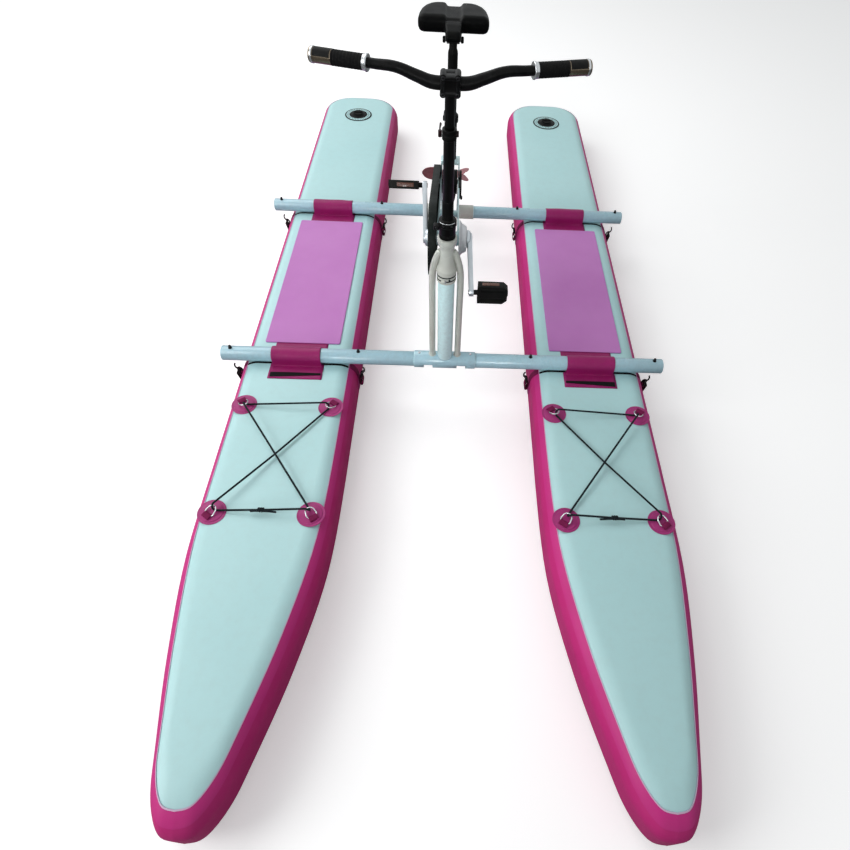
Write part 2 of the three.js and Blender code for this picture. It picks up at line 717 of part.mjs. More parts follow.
function halfTube(from) {
  const end = TUBE_SPAN / 2;
  const tube = turned([
    [0, end],
    [TUBE_RADIUS, end],
    [TUBE_RADIUS, from],
    [TUBE_BORE, from],
    [TUBE_BORE, end - TUBE_PLUG],
    [0, end - TUBE_PLUG],
  ]).rotateY(Math.PI / 2);
  const holes = [BUTTON_INNER_X, BUTTON_OUTER_X].map((x) => (
    rod(BUTTON_RADIUS + SEAT_GAP, TUBE_BORE - OVERRUN, TUBE_RADIUS + OVERRUN, SMALL_STEPS).translate(x, 0, 0)
  ));
  return cut(tube, holes);
}

function button() {
  const flangeTop = Math.sqrt(TUBE_BORE ** 2 - BUTTON_FLANGE_RADIUS ** 2) - SEAT_GAP;
  const top = TUBE_RADIUS + BUTTON_PROUD;
  return turned([
    [0, flangeTop - BUTTON_FLANGE],
    [BUTTON_FLANGE_RADIUS, flangeTop - BUTTON_FLANGE],
    [BUTTON_FLANGE_RADIUS, flangeTop],
    [BUTTON_RADIUS, flangeTop],
    [BUTTON_RADIUS, top - BUTTON_DOME],
    [BUTTON_RADIUS - BUTTON_DOME, top],
    [0, top],
  ], SMALL_STEPS);
}

const REAR_TUBE_START = PLATE_OUTER_X + SEAT_GAP;
const FRONT_TUBE_START = WINDOW_FROM_MIDDLE + WINDOW_WIDTH + SEAT_GAP;
const TUBES = [['rear', REAR_TUBE_Y, REAR_TUBE_START], ['front', FRONT_TUBE_Y, FRONT_TUBE_START]];
for (const [end, y, from] of TUBES) {
  for (const [name, side] of SIDES) {
    const tube = place(`cross_tube_${end}_${name}`, halfTube(from), whitePaint, [0, y, TUBE_Z]);
    tube.rotation.z = side > 0 ? 0 : Math.PI;
    for (const [where, x] of [['inner', BUTTON_INNER_X], ['outer', BUTTON_OUTER_X]]) {
      place(`button_${end}_${where}_${name}`, button(), steel, [side * x, y, TUBE_Z]);
    }
  }
}

// Front frame

function headTube() {
  const bore = STEM_RADIUS + SEAT_GAP;
  return turned([
    [bore, HEAD_FOOT],
    [HEAD_FOOT_RADIUS, HEAD_FOOT],
    [HEAD_FOOT_RADIUS, HEAD_FOOT + HEAD_RIM_HEIGHT / 2],
    [(HEAD_FOOT_RADIUS + HEAD_NECK_RADIUS) / 2, HEAD_FOOT + HEAD_HEIGHT * HEAD_SHOULDER_SHARE],
    [HEAD_NECK_RADIUS, HEAD_FOOT + HEAD_HEIGHT * HEAD_NECK_SHARE],
    [HEAD_NECK_RADIUS, HEAD_TOP - 2 * HEAD_RIM_HEIGHT],
    [HEAD_RIM_RADIUS, HEAD_TOP - HEAD_RIM_HEIGHT],
    [HEAD_RIM_RADIUS, HEAD_TOP],
    [bore, HEAD_TOP],
    [bore, HEAD_FOOT],
  ]);
}

function sideTube(side) {
  const bend = DECK_Z + SIDE_TUBE_BEND_HEIGHT;
  const top = DECK_Z + SIDE_TUBE_TOP_HEIGHT;
  const foot = new THREE.Vector3(side * SIDE_TUBE_X, 0, TUBE_Z);
  const path = new THREE.CurvePath();
  path.add(new THREE.LineCurve3(foot, foot.clone().setZ(bend)));
  path.add(new THREE.QuadraticBezierCurve3(
    foot.clone().setZ(bend),
    new THREE.Vector3(side * SIDE_TUBE_X, 0, (bend + top) / 2),
    new THREE.Vector3(side * SIDE_TUBE_TOP_X, 0, top),
  ));
  return sweep(SIDE_TUBE_RADIUS, path, SIDE_TUBE_STEPS);
}

function frontFrame() {
  const half = FRONT_SOCKET_WIDTH / 2;
  const welded = join([
    rodX(SOCKET_RADIUS, -half, half).translate(0, 0, TUBE_Z),
    rod(COLUMN_RADIUS, TUBE_Z, COLUMN_TOP),
    sideTube(1),
    sideTube(-1),
    headTube(),
  ]);
  const windows = [1, -1].map((side) => (
    block(WINDOW_WIDTH, 2 * SOCKET_RADIUS + OVERRUN, SOCKET_RADIUS + OVERRUN)
      .translate(side * (WINDOW_FROM_MIDDLE + WINDOW_WIDTH / 2), 0, TUBE_Z - (SOCKET_RADIUS + OVERRUN) / 2)
  ));
  return cut(welded, [
    rodX(SOCKET_BORE, -half - OVERRUN, half + OVERRUN).translate(0, 0, TUBE_Z),
    rod(COLUMN_RADIUS - COLUMN_WALL, TUBE_Z + SOCKET_RADIUS, COLUMN_TOP + OVERRUN),
    rod(STEM_RADIUS + SEAT_GAP, COLUMN_TOP, HEAD_TOP + OVERRUN),
    ...windows,
  ]);
}
place('front_frame', frontFrame(), whitePaint, [0, FRONT_TUBE_Y, 0]);

// Steering collar, stem and handlebar, on the column's axis

function steeringCollar() {
  const ring = rod(COLLAR_RADIUS, COLLAR_FOOT, COLLAR_FOOT + COLLAR_HEIGHT);
  const ear = block(COLLAR_EAR_REACH, COLLAR_EAR_WIDTH, COLLAR_HEIGHT / 2)
    .translate(COLLAR_EAR_REACH / 2, 0, COLLAR_FOOT + COLLAR_HEIGHT / 4)
    .rotateZ(radians(COLLAR_EAR_ANGLE_DEG));
  const bore = rod(STEM_RADIUS + SEAT_GAP, COLLAR_FOOT - OVERRUN, COLLAR_FOOT + COLLAR_HEIGHT + OVERRUN);
  return cut(join([ring, ear]), [bore]);
}

function stemClamp() {
  const bore = STEM_RADIUS + SEAT_GAP;
  const flangeFoot = CLAMP_FOOT + CLAMP_HEIGHT;
  const flangeTop = flangeFoot + CLAMP_FLANGE;
  return turned([
    [bore, CLAMP_FOOT],
    [CLAMP_RADIUS, CLAMP_FOOT],
    [CLAMP_RADIUS, flangeFoot],
    [CLAMP_FLANGE_RADIUS, flangeFoot],
    [CLAMP_FLANGE_RADIUS, flangeTop],
    [CLAMP_NECK_RADIUS, flangeTop],
    [CLAMP_NECK_RADIUS, flangeTop + CLAMP_NECK],
    [bore, flangeTop + CLAMP_NECK],
    [bore, CLAMP_FOOT],
  ]);
}

// The stem tube ends in a clamp ring with a lug for the lever's bolt on each side
const LUG_X = STEM_COLLAR_RADIUS + LEVER_PIN_RADIUS + SEAT_GAP;

function stemTube() {
  const foot = DECK_Z + STEM_FOOT_HEIGHT;
  const tube = turned([
    [STEM_BORE, foot],
    [STEM_RADIUS, foot],
    [STEM_RADIUS, STEM_TOP - STEM_COLLAR],
    [STEM_COLLAR_RADIUS, STEM_TOP - STEM_COLLAR],
    [STEM_COLLAR_RADIUS, STEM_TOP],
    [STEM_BORE, STEM_TOP],
    [STEM_BORE, foot],
  ]);
  const boltHead = rodX(LEVER_PIN_RADIUS, STEM_COLLAR_RADIUS - STEM_WALL, LUG_X, SMALL_STEPS)
    .translate(0, 0, STEM_TOP - STEM_COLLAR / 2);
  return join([tube, boltHead]);
}

function quickLever() {
  const pin = rod(LEVER_PIN_RADIUS, -LEVER_PIN_LENGTH / 2, LEVER_PIN_LENGTH / 2, SMALL_STEPS);
  const handle = block(LEVER_THICKNESS, LEVER_LENGTH, LEVER_HEIGHT).translate(0, LEVER_LENGTH / 2, 0);
  return join([pin, handle]);
}

function barPost() {
  const foot = DECK_Z + POST_FOOT_HEIGHT;
  const post = rod(POST_RADIUS, foot, BAR_Z);
  const head = block(BAR_HEAD_WIDTH, BAR_HEAD_DEPTH, BAR_HEAD_HEIGHT).translate(0, 0, BAR_Z);
  const barHole = rodX(BAR_CENTRE_RADIUS + SEAT_GAP, -BAR_HEAD_WIDTH, BAR_HEAD_WIDTH).translate(0, 0, BAR_Z);
  return cut(join([post, head]), [barHole]);
}

function barPath() {
  const wing = BAR_SHARES.map(([out, back, up]) => (
    new THREE.Vector3(out * BAR_SPAN / 2, back * BAR_SWEEP, up * BAR_RISE)
  ));
  const mirrored = wing.map((p) => new THREE.Vector3(-p.x, p.y, p.z)).reverse();
  return new THREE.CatmullRomCurve3([...mirrored, new THREE.Vector3(), ...wing]);
}

function handlebar() {
  const tube = sweep(BAR_END_RADIUS, barPath(), BAR_STEPS);
  return join([tube, rodX(BAR_CENTRE_RADIUS, -BAR_SLEEVE_HALF, BAR_SLEEVE_HALF)]);
}

// A grip slides over the bar's end, so it is turned about the bar's last straight stretch
function grip(side) {
  const path = barPath();
  const end = path.getPoint(side > 0 ? 1 : 0);
  const run = path.getTangent(side > 0 ? 1 : 0).multiplyScalar(side);
  const bore = BAR_END_RADIUS + 2 * SEAT_GAP;
  const body = turned([
    [0, GRIP_FLANGE],
    [GRIP_RADIUS, GRIP_FLANGE],
    [GRIP_RADIUS, GRIP_FLANGE - GRIP_LENGTH],
    [GRIP_FLANGE_RADIUS, GRIP_FLANGE - GRIP_LENGTH],
    [GRIP_FLANGE_RADIUS, -GRIP_LENGTH],
    [bore, -GRIP_LENGTH],
    [bore, SEAT_GAP],
    [0, SEAT_GAP],
  ]);
  return body.applyQuaternion(new THREE.Quaternion().setFromUnitVectors(new THREE.Vector3(0, 0, 1), run))
    .translate(end.x, end.y, end.z);
}

place('steering_collar', steeringCollar(), whitePaint, [0, FRONT_TUBE_Y, 0]);
place('stem_clamp', stemClamp(), blackPaint, [0, FRONT_TUBE_Y, 0]);
place('stem_tube', stemTube(), blackPaint, [0, FRONT_TUBE_Y, 0]);
place('stem_lever', quickLever(), blackPaint, [-LUG_X, FRONT_TUBE_Y, STEM_TOP - STEM_COLLAR / 2]);
place('bar_post', barPost(), blackPaint, [0, FRONT_TUBE_Y, 0]);
place('handlebar', handlebar(), blackPaint, [0, FRONT_TUBE_Y, BAR_Z]);
for (const [name, side] of SIDES) {
  place(`grip_${name}`, grip(side), blackRubber, [0, FRONT_TUBE_Y, BAR_Z]);
}

// Rear frame

// A round bar along X on one side of the middle
function sideRod(radius, side, near, far) {
  return side > 0 ? rodX(radius, near, far) : rodX(radius, -far, -near);
}

function rearFrame() {
  const crank = [CRANK_Y, CRANK_Z];
  const pivot = [PIVOT_Y, PIVOT_Z];
  const foot = [REAR_TUBE_Y, TUBE_Z];
  const pieces = [];
  for (const side of [1, -1]) {
    const [from, to] = side > 0 ? [PLATE_INNER_X, PLATE_OUTER_X] : [-PLATE_OUTER_X, -PLATE_INNER_X];
    pieces.push(sidePlate(beltOutline(crank, PLATE_HALF_HEIGHT, pivot, PLATE_HALF_HEIGHT), from, to));
    pieces.push(sidePlate(beltOutline(pivot, PLATE_HALF_HEIGHT, foot, PLATE_HALF_HEIGHT), from, to));
    pieces.push(sideRod(SOCKET_RADIUS, side, PLATE_INNER_X, REAR_SOCKET_END_X)
      .translate(0, REAR_TUBE_Y, TUBE_Z));
  }
  pieces.push(rodX(BOTTOM_SHELL_RADIUS, -PLATE_OUTER_X, PLATE_OUTER_X).translate(0, ...crank));
  const bridgeY = CRANK_Y + (PIVOT_Y - CRANK_Y) * BRIDGE_SHARE;
  const bridgeZ = CRANK_Z + (PIVOT_Z - CRANK_Z) * BRIDGE_SHARE;
  pieces.push(rodX(BRIDGE_RADIUS, -PLATE_INNER_X - SEAT_GAP, PLATE_INNER_X + SEAT_GAP)
    .translate(0, bridgeY, bridgeZ));
  const columnFace = FRONT_TUBE_Y + COLUMN_RADIUS + SEAT_GAP;
  const beam = new THREE.Shape([
    new THREE.Vector2(columnFace, DECK_Z + BEAM_FOOT_HEIGHT),
    new THREE.Vector2(CRANK_Y, CRANK_Z - BOTTOM_SHELL_RADIUS),
    new THREE.Vector2(CRANK_Y - BOTTOM_SHELL_RADIUS, CRANK_Z),
    new THREE.Vector2(columnFace, DECK_Z + BEAM_TOP_HEIGHT),
  ]);
  pieces.push(sidePlate(beam, -BEAM_HALF_WIDTH, BEAM_HALF_WIDTH));
  const seatFoot = PIVOT_Z + LEG_HEAD_RADIUS + SEAT_BRIDGE_CLEARANCE;
  const seatPlate = seatFoot + SEAT_BRIDGE_HEIGHT;
  pieces.push(block(2 * PLATE_OUTER_X, 2 * SEAT_TUBE_RADIUS, SEAT_BRIDGE_HEIGHT)
    .translate(0, SEAT_POST_Y, (seatFoot + seatPlate) / 2));
  const earFoot = PIVOT_Z - 2 * PLATE_HALF_HEIGHT;
  for (const side of [1, -1]) {
    pieces.push(block(PLATE_THICKNESS, 2 * SEAT_TUBE_RADIUS, seatPlate - earFoot)
      .translate(side * (PLATE_INNER_X + PLATE_THICKNESS / 2), SEAT_POST_Y, (seatPlate + earFoot) / 2));
  }
  pieces.push(rod(SEAT_TUBE_RADIUS, seatFoot, SEAT_TUBE_TOP).translate(0, SEAT_POST_Y, 0));
  const cutters = [
    rodX(SPINDLE_RADIUS + SEAT_GAP, -PLATE_OUTER_X - OVERRUN, PLATE_OUTER_X + OVERRUN).translate(0, ...crank),
    rodX(INPUT_SHAFT_RADIUS + SEAT_GAP, -PLATE_OUTER_X - OVERRUN, PLATE_OUTER_X + OVERRUN)
      .translate(0, ...pivot),
    rod(SEAT_POST_RADIUS + SEAT_GAP, seatPlate, SEAT_TUBE_TOP + OVERRUN).translate(0, SEAT_POST_Y, 0),
  ];
  for (const side of [1, -1]) {
    cutters.push(sideRod(SOCKET_BORE, side, PLATE_OUTER_X, REAR_SOCKET_END_X + OVERRUN)
      .translate(0, REAR_TUBE_Y, TUBE_Z));
  }
  return cut(join(pieces), cutters);
}
place('rear_frame', rearFrame(), whitePaint);

// Crank, pedals and chain drive

const CRANK_OUTER_X = CRANK_INNER_X + CRANK_THICKNESS;

function crankArm(side) {
  const turn = radians(CRANK_ANGLE_DEG);
  const end = [-side * CRANK_LENGTH * Math.cos(turn), -side * CRANK_LENGTH * Math.sin(turn)];
  const [from, to] = side > 0 ? [CRANK_INNER_X, CRANK_OUTER_X] : [-CRANK_OUTER_X, -CRANK_INNER_X];
  const arm = sidePlate(beltOutline([0, 0], CRANK_BOSS_RADIUS, end, CRANK_END_RADIUS), from, to);
  return cut(arm, [
    rodX(SPINDLE_RADIUS + SEAT_GAP, from - OVERRUN, to + OVERRUN),
    rodX(PEDAL_AXLE_RADIUS + SEAT_GAP, from - OVERRUN, to + OVERRUN, SMALL_STEPS).translate(0, ...end),
  ]);
}

// Pedal: a cage with two cut outer corners round its axle, and the axle's end through the crank arm
function pedal() {
  const inner = PEDAL_OFFSET;
  const outer = PEDAL_OFFSET + PEDAL_WIDTH;
  const end = PEDAL_LENGTH / 2;
  const outline = [
    [inner, -end],
    [outer - PEDAL_CORNER, -end],
    [outer, PEDAL_CORNER - end],
    [outer, end - PEDAL_CORNER],
    [outer - PEDAL_CORNER, end],
    [inner, end],
  ].map(([x, y]) => new THREE.Vector2(x, y));
  const windowLength = PEDAL_LENGTH / 2 - PEDAL_RIM - PEDAL_AXLE_RADIUS - PEDAL_RIM / 2;
  const windowY = PEDAL_AXLE_RADIUS + PEDAL_RIM / 2 + windowLength / 2;
  const body = new THREE.ExtrudeGeometry(new THREE.Shape(outline), {
    depth: PEDAL_THICKNESS,
    bevelEnabled: false,
  }).translate(0, 0, -PEDAL_THICKNESS / 2);
  const windows = [1, -1].map((half) => (
    block(PEDAL_WIDTH - 2 * PEDAL_RIM, windowLength, PEDAL_THICKNESS + OVERRUN)
      .translate((inner + outer) / 2, half * windowY, 0)
  ));
  const boss = rodX(PEDAL_BOSS_RADIUS, SEAT_GAP, inner + SEAT_GAP, SMALL_STEPS);
  const axle = rodX(PEDAL_AXLE_RADIUS, -CRANK_THICKNESS, inner + SEAT_GAP, SMALL_STEPS);
  return join([cut(body, windows), boss, axle]);
}

function chainring() {
  const half = CHAINRING_THICKNESS / 2;
  const [left, right] = [CHAIN_PLANE_X - OVERRUN, CHAIN_PLANE_X + OVERRUN];
  const disc = rodX(CHAINRING_RADIUS, CHAIN_PLANE_X - half, CHAIN_PLANE_X + half);
  const holes = Array.from({ length: CHAINRING_HOLES }, (_, k) => (
    rodX(CHAINRING_RADIUS * CHAINRING_HOLE_SHARE, left, right, SMALL_STEPS)
      .translate(0, CHAINRING_RADIUS * CHAINRING_HOLE_RING_SHARE, 0)
      .rotateX(2 * Math.PI * k / CHAINRING_HOLES)
  ));
  return cut(disc, [rodX(SPINDLE_RADIUS + SEAT_GAP, left, right), ...holes]);
}

function chainLoop() {
  const [a, b] = [[0, 0], [PIVOT_Y - CRANK_Y, PIVOT_Z - CRANK_Z]];
  const ring = CHAINRING_RADIUS + 2 * SEAT_GAP;
  const small = SPROCKET_RADIUS + 2 * SEAT_GAP;
  const half = CHAIN_WIDTH / 2;
  const outline = beltOutline(a, ring + CHAIN_DEPTH, b, small + CHAIN_DEPTH);
  const outer = sidePlate(outline, CHAIN_PLANE_X - half, CHAIN_PLANE_X + half);
  const hole = beltOutline(a, ring, b, small);
  return cut(outer, [sidePlate(hole, CHAIN_PLANE_X - half - OVERRUN, CHAIN_PLANE_X + half + OVERRUN)]);
}

function chainCase() {
  const [a, b] = [[0, 0], [PIVOT_Y - CRANK_Y, PIVOT_Z - CRANK_Z]];
  const inside = -PLATE_OUTER_X - SEAT_GAP;
  const shell = sidePlate(beltOutline(a, CASE_FRONT_RADIUS, b, CASE_REAR_RADIUS), CASE_OUTER_X, inside);
  const hollow = sidePlate(
    beltOutline(a, CASE_FRONT_RADIUS - CASE_WALL, b, CASE_REAR_RADIUS - CASE_WALL),
    CASE_OUTER_X + CASE_WALL,
    inside + OVERRUN,
  );
  const hubHole = rodX(CASE_HUB_HOLE_RADIUS, CASE_OUTER_X - OVERRUN, inside);
  return cut(shell, [hollow, hubHole]);
}

function bearingCover() {
  const inside = PLATE_OUTER_X + SEAT_GAP;
  const outside = -CASE_OUTER_X;
  return turned([
    [COVER_FOOT_RADIUS - COVER_WALL, inside],
    [COVER_FOOT_RADIUS, inside],
    [COVER_TOP_RADIUS, outside],
    [CASE_HUB_HOLE_RADIUS, outside],
    [CASE_HUB_HOLE_RADIUS, outside - COVER_WALL],
    [COVER_TOP_RADIUS - COVER_WALL, outside - COVER_WALL],
    [COVER_FOOT_RADIUS - COVER_WALL, inside],
  ]).rotateY(Math.PI / 2);
}

function inputShaft() {
  const half = SPROCKET_THICKNESS / 2;
  return join([
    rodX(INPUT_SHAFT_RADIUS, CHAIN_PLANE_X - SPROCKET_THICKNESS, PLATE_OUTER_X),
    rodX(SPROCKET_RADIUS, CHAIN_PLANE_X - half, CHAIN_PLANE_X + half),
  ]);
}

const atCrank = [0, CRANK_Y, CRANK_Z];
place('crank_spindle', rodX(SPINDLE_RADIUS, -CRANK_OUTER_X, CRANK_OUTER_X), steel, atCrank);
place('chainring', chainring(), steel, atCrank);
place('chain', chainLoop(), steel, atCrank);
place('chain_case', chainCase(), blackPlastic, atCrank);
place('bearing_cover', bearingCover(), silver, atCrank);
place('input_shaft', inputShaft(), steel, [0, PIVOT_Y, PIVOT_Z]);
for (const [name, side] of SIDES) {
  place(`crank_arm_${name}`, crankArm(side), silver, atCrank);
  const turn = radians(CRANK_ANGLE_DEG);
  const end = [
    side * CRANK_OUTER_X,
    CRANK_Y - side * CRANK_LENGTH * Math.cos(turn),
    CRANK_Z - side * CRANK_LENGTH * Math.sin(turn),
  ];
  const step = place(`pedal_${name}`, side > 0 ? pedal() : pedal().rotateZ(Math.PI), blackPlastic, end);
  step.rotation.x = radians(side > 0 ? PEDAL_LEFT_TILT_DEG : PEDAL_RIGHT_TILT_DEG);
}

// Drive leg: modelled hanging straight down from its pivot, then swung up behind

const leg = new THREE.Group();
leg.position.set(0, PIVOT_Y, PIVOT_Z);
leg.rotation.x = radians(LEG_REST_DEG);
bike.add(leg);

function legHead() {
  const drum = rodX(LEG_HEAD_RADIUS, -LEG_HEAD_HALF_WIDTH, LEG_HEAD_HALF_WIDTH);
  const neck = rod(LEG_NECK_RADIUS, -LEG_NECK_LENGTH, 0);
  return cut(join([drum, neck]), [
    rodX(INPUT_SHAFT_RADIUS + SEAT_GAP, -LEG_HEAD_HALF_WIDTH - OVERRUN, LEG_HEAD_HALF_WIDTH + OVERRUN),
    rod(LEG_TUBE_RADIUS + SEAT_GAP, -LEG_NECK_LENGTH - OVERRUN, -LEG_TUBE_START + SEAT_GAP),
  ]);
}

function driveLeg() {
  const tube = rod(LEG_TUBE_RADIUS, -LEG_LENGTH, -LEG_TUBE_START);
  const nacelle = turned([
    ...NACELLE_NOSE_SHARES.map(([wide, along]) => [NACELLE_RADIUS * wide, -NACELLE_AHEAD * along]),
    [NACELLE_RADIUS, NACELLE_BEHIND * NACELLE_TAIL_SHARE],
    [HUB_RADIUS, NACELLE_BEHIND],
    [0, NACELLE_BEHIND],
  ]).rotateX(-Math.PI / 2).translate(0, 0, -LEG_LENGTH);
  return join([tube, nacelle]);
}

function propeller() {
  const hub = turned([
    [0, 0],
    [HUB_RADIUS, 0],
    ...HUB_TAPER_SHARES.map(([wide, along]) => [HUB_RADIUS * wide, HUB_LENGTH * along]),
    [0, HUB_LENGTH],
  ]);
  const root = HUB_RADIUS * BLADE_ROOT_SHARE;
  const rootHalf = BLADE_CHORD * BLADE_ROOT_CHORD_SHARE;
  const handles = (shares) => (
    shares.flatMap(([along, across]) => [BLADE_REACH * along, BLADE_CHORD * across])
  );
  const outline = new THREE.Shape();
  outline.moveTo(root, -rootHalf);
  outline.bezierCurveTo(...handles(BLADE_LEADING_SHARES), BLADE_REACH, 0);
  outline.bezierCurveTo(...handles(BLADE_TRAILING_SHARES), root, rootHalf);
  const blade = new THREE.ExtrudeGeometry(outline, {
    depth: BLADE_THICKNESS,
    bevelEnabled: false,
    curveSegments: BLADE_STEPS,
  })
    .translate(0, 0, -BLADE_THICKNESS / 2)
    .rotateX(radians(BLADE_PITCH_DEG));
  const blades = Array.from({ length: BLADE_COUNT }, (_, k) => (
    blade.clone()
      .rotateZ(Math.PI + 2 * Math.PI * k / BLADE_COUNT)
      .translate(0, 0, HUB_LENGTH * BLADE_PLACE_SHARE)
  ));
  return join([hub, ...blades]).rotateX(-Math.PI / 2);
}

place('leg_head', legHead(), blackPaint, [0, 0, 0], leg);
place('drive_leg', driveLeg(), blackPaint, [0, 0, 0], leg);
place('propeller', propeller(), bronze, [0, NACELLE_BEHIND + SEAT_GAP, -LEG_LENGTH], leg);

// Seat post, its lever and the saddle

function seatPost() {
  const foot = DECK_Z + SEAT_POST_FOOT_HEIGHT;
  const neck = SADDLE_BASE_Z - SEAT_POST_NECK_BELOW_SADDLE;
  const clamp = SADDLE_BASE_Z - SEAT_CLAMP_DEPTH / 2;
  const post = turned([
    [0, foot],
    [SEAT_POST_RADIUS, foot],
    [SEAT_POST_RADIUS, neck],
    [SEAT_POST_NECK_RADIUS, neck + SEAT_POST_NECK_RADIUS],
    [SEAT_POST_NECK_RADIUS, clamp],
    [0, clamp],
  ]);
  const top = block(SEAT_CLAMP_WIDTH, SEAT_CLAMP_LENGTH, SEAT_CLAMP_DEPTH)
    .translate(0, 0, SADDLE_BASE_Z - SEAT_GAP - SEAT_CLAMP_DEPTH / 2);
  return join([post, top]);
}

function saddle() {
  const half = SADDLE_WIDTH / 2;
  const rings = SADDLE_SHARES.map(([along, wide, crown, under]) => {
    const y = SADDLE_REAR_BEHIND_POST - along * SADDLE_LENGTH;
    const width = half * wide;
    const low = SADDLE_DEPTH * under;
    const high = SADDLE_DEPTH * crown;
    return Array.from({ length: SADDLE_SIDES }, (_, k) => {
      const turn = 2 * Math.PI * k / SADDLE_SIDES - Math.PI / 2;
      const side = Math.cos(turn);
      const lift = (1 + Math.sin(turn)) / 2;
      const upper = Math.max(0, Math.sin(turn));
      const channel = SADDLE_CHANNEL_SHARE * SADDLE_DEPTH * upper * (1 - Math.abs(side)) ** 2;
      const edge = Math.sign(side) * Math.abs(side) ** SADDLE_EDGE_POWER * width;
      return new THREE.Vector3(edge, y, low + (high - low) * lift ** SADDLE_TOP_POWER - channel);
    });
  });
  return loft(rings);
}

place('seat_post', seatPost(), blackPaint, [0, SEAT_POST_Y, 0]);
const seatLeverX = -SEAT_TUBE_RADIUS - LEVER_PIN_RADIUS - SEAT_GAP;
place('seat_lever', quickLever(), blackPaint, [seatLeverX, SEAT_POST_Y, SEAT_TUBE_TOP - LEVER_PIN_LENGTH]);
place('saddle', saddle(), blackRubber, [0, SEAT_POST_Y, SADDLE_BASE_Z]);

export default bike;
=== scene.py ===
# A pontoon water bike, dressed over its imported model.
# Sizes are millimetres until MM turns them into Blender's metres.
# +X is the rider's left, +Y the stern, +Z up.

import math

import bmesh
import bpy
from mathutils import Matrix, Vector, kdtree, noise


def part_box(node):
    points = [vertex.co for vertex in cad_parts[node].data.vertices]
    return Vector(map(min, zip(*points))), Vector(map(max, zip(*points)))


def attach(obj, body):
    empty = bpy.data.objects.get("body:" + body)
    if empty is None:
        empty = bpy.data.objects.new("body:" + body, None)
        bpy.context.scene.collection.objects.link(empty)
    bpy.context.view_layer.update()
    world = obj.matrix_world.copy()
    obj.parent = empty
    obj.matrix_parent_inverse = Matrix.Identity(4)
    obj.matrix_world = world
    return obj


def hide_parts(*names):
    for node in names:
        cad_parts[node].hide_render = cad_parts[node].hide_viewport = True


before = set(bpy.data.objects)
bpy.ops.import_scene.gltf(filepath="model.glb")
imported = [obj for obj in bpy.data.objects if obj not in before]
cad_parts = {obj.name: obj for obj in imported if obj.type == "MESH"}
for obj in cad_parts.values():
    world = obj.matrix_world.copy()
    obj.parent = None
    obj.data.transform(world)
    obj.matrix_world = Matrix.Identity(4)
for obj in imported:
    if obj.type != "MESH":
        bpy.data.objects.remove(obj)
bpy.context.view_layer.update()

MM = 0.001
PORT = 1
STARBOARD = -1
SIDES = (("port", PORT), ("starboard", STARBOARD))

# Pontoons
PONTOON_LENGTH = 3390
PONTOON_HALF = 196
PONTOON_X = 500
DECK = 180
SHOULDER = 62
BOW_TAPER = 950
BOW_SPLAY = 34
STERN_CORNER = 150
BOW_OUTLINE = [(0, 0), (0.012, 0.2), (0.07, 0.38), (0.163, 0.51), (0.39, 0.763), (0.67, 0.965), (1, 1)]
BAND_TOP = 52
GLUE_LIFT = 1.0
PRINT_LIFT = 0.35

# Tubes
REAR_Y = 543
FRONT_Y = -350
TUBE_Z = 207.7
TUBE_RADIUS = 25

# Steering line, crank, leg pivot and seat
COLUMN_TOP = 549
STEM_TOP = 1000
STEM_LEVER_Z = STEM_TOP - 13
CRANK_Y = -188
CRANK_Z = 580
PIVOT_Y = 243
PIVOT_Z = 520
LEG_LEAN = math.radians(57)
LEG_LENGTH = 640
SEAT_Y = 293
SADDLE_FOOT = 985
ARM_INNER = 70
ARM_OUTER = 84
CRANK_LENGTH = 170


# Ways of working: selecting, building and finishing a piece

def put_down():
    """Leaves edit mode and lets go of everything."""
    held = bpy.context.object
    if held and held.mode != "OBJECT":
        bpy.ops.object.mode_set(mode="OBJECT")
    bpy.ops.object.select_all(action="DESELECT")


def take(piece):
    put_down()
    piece.select_set(True)
    bpy.context.view_layer.objects.active = piece


def called(name):
    piece = bpy.context.object
    piece.name = name
    piece.data.name = name
    return piece


def open_mesh(kind=None):
    """Enters edit mode with everything selected, in one kind of selection."""
    bpy.ops.object.mode_set(mode="EDIT")
    if kind:
        bpy.ops.mesh.select_mode(type=kind)
    bpy.ops.mesh.select_all(action="SELECT")


def close_mesh():
    bpy.ops.object.mode_set(mode="OBJECT")


def modified(piece, kind, **values):
    """Adds a modifier with these values to the active piece, and applies it."""
    bpy.ops.object.modifier_add(type=kind)
    step = piece.modifiers[-1]
    for label, value in values.items():
        setattr(step, label, value)
    bpy.ops.object.modifier_apply(modifier=step.name)


def choose(piece, wanted):
    """In edit mode, selects the faces whose middle, in mm, and normal are wanted."""
    bpy.ops.mesh.select_mode(type="FACE")
    bpy.ops.mesh.select_all(action="DESELECT")
    shape = bmesh.from_edit_mesh(piece.data)
    for face in shape.faces:
        corners = [v.co for v in face.verts]
        middle = piece.matrix_world @ (sum(corners, Vector()) / len(corners)) / MM
        face.select = wanted(middle, face.normal)
    shape.select_flush_mode()
    bmesh.update_edit_mesh(piece.data)


def settle(piece, soft=0.0, angle=32):
    """Puts the place into the mesh, merges doubles, softens the edges and shades it smooth."""
    take(piece)
    bpy.ops.object.transform_apply(location=True, rotation=True, scale=True)
    open_mesh()
    bpy.ops.mesh.remove_doubles(threshold=0.01 * MM)
    bpy.ops.mesh.normals_make_consistent(inside=False)
    close_mesh()
    if soft:
        modified(piece, "BEVEL", width=soft * MM, segments=2, angle_limit=math.radians(angle))
    bpy.ops.object.shade_smooth_by_angle(angle=math.radians(angle + 3))
    return piece


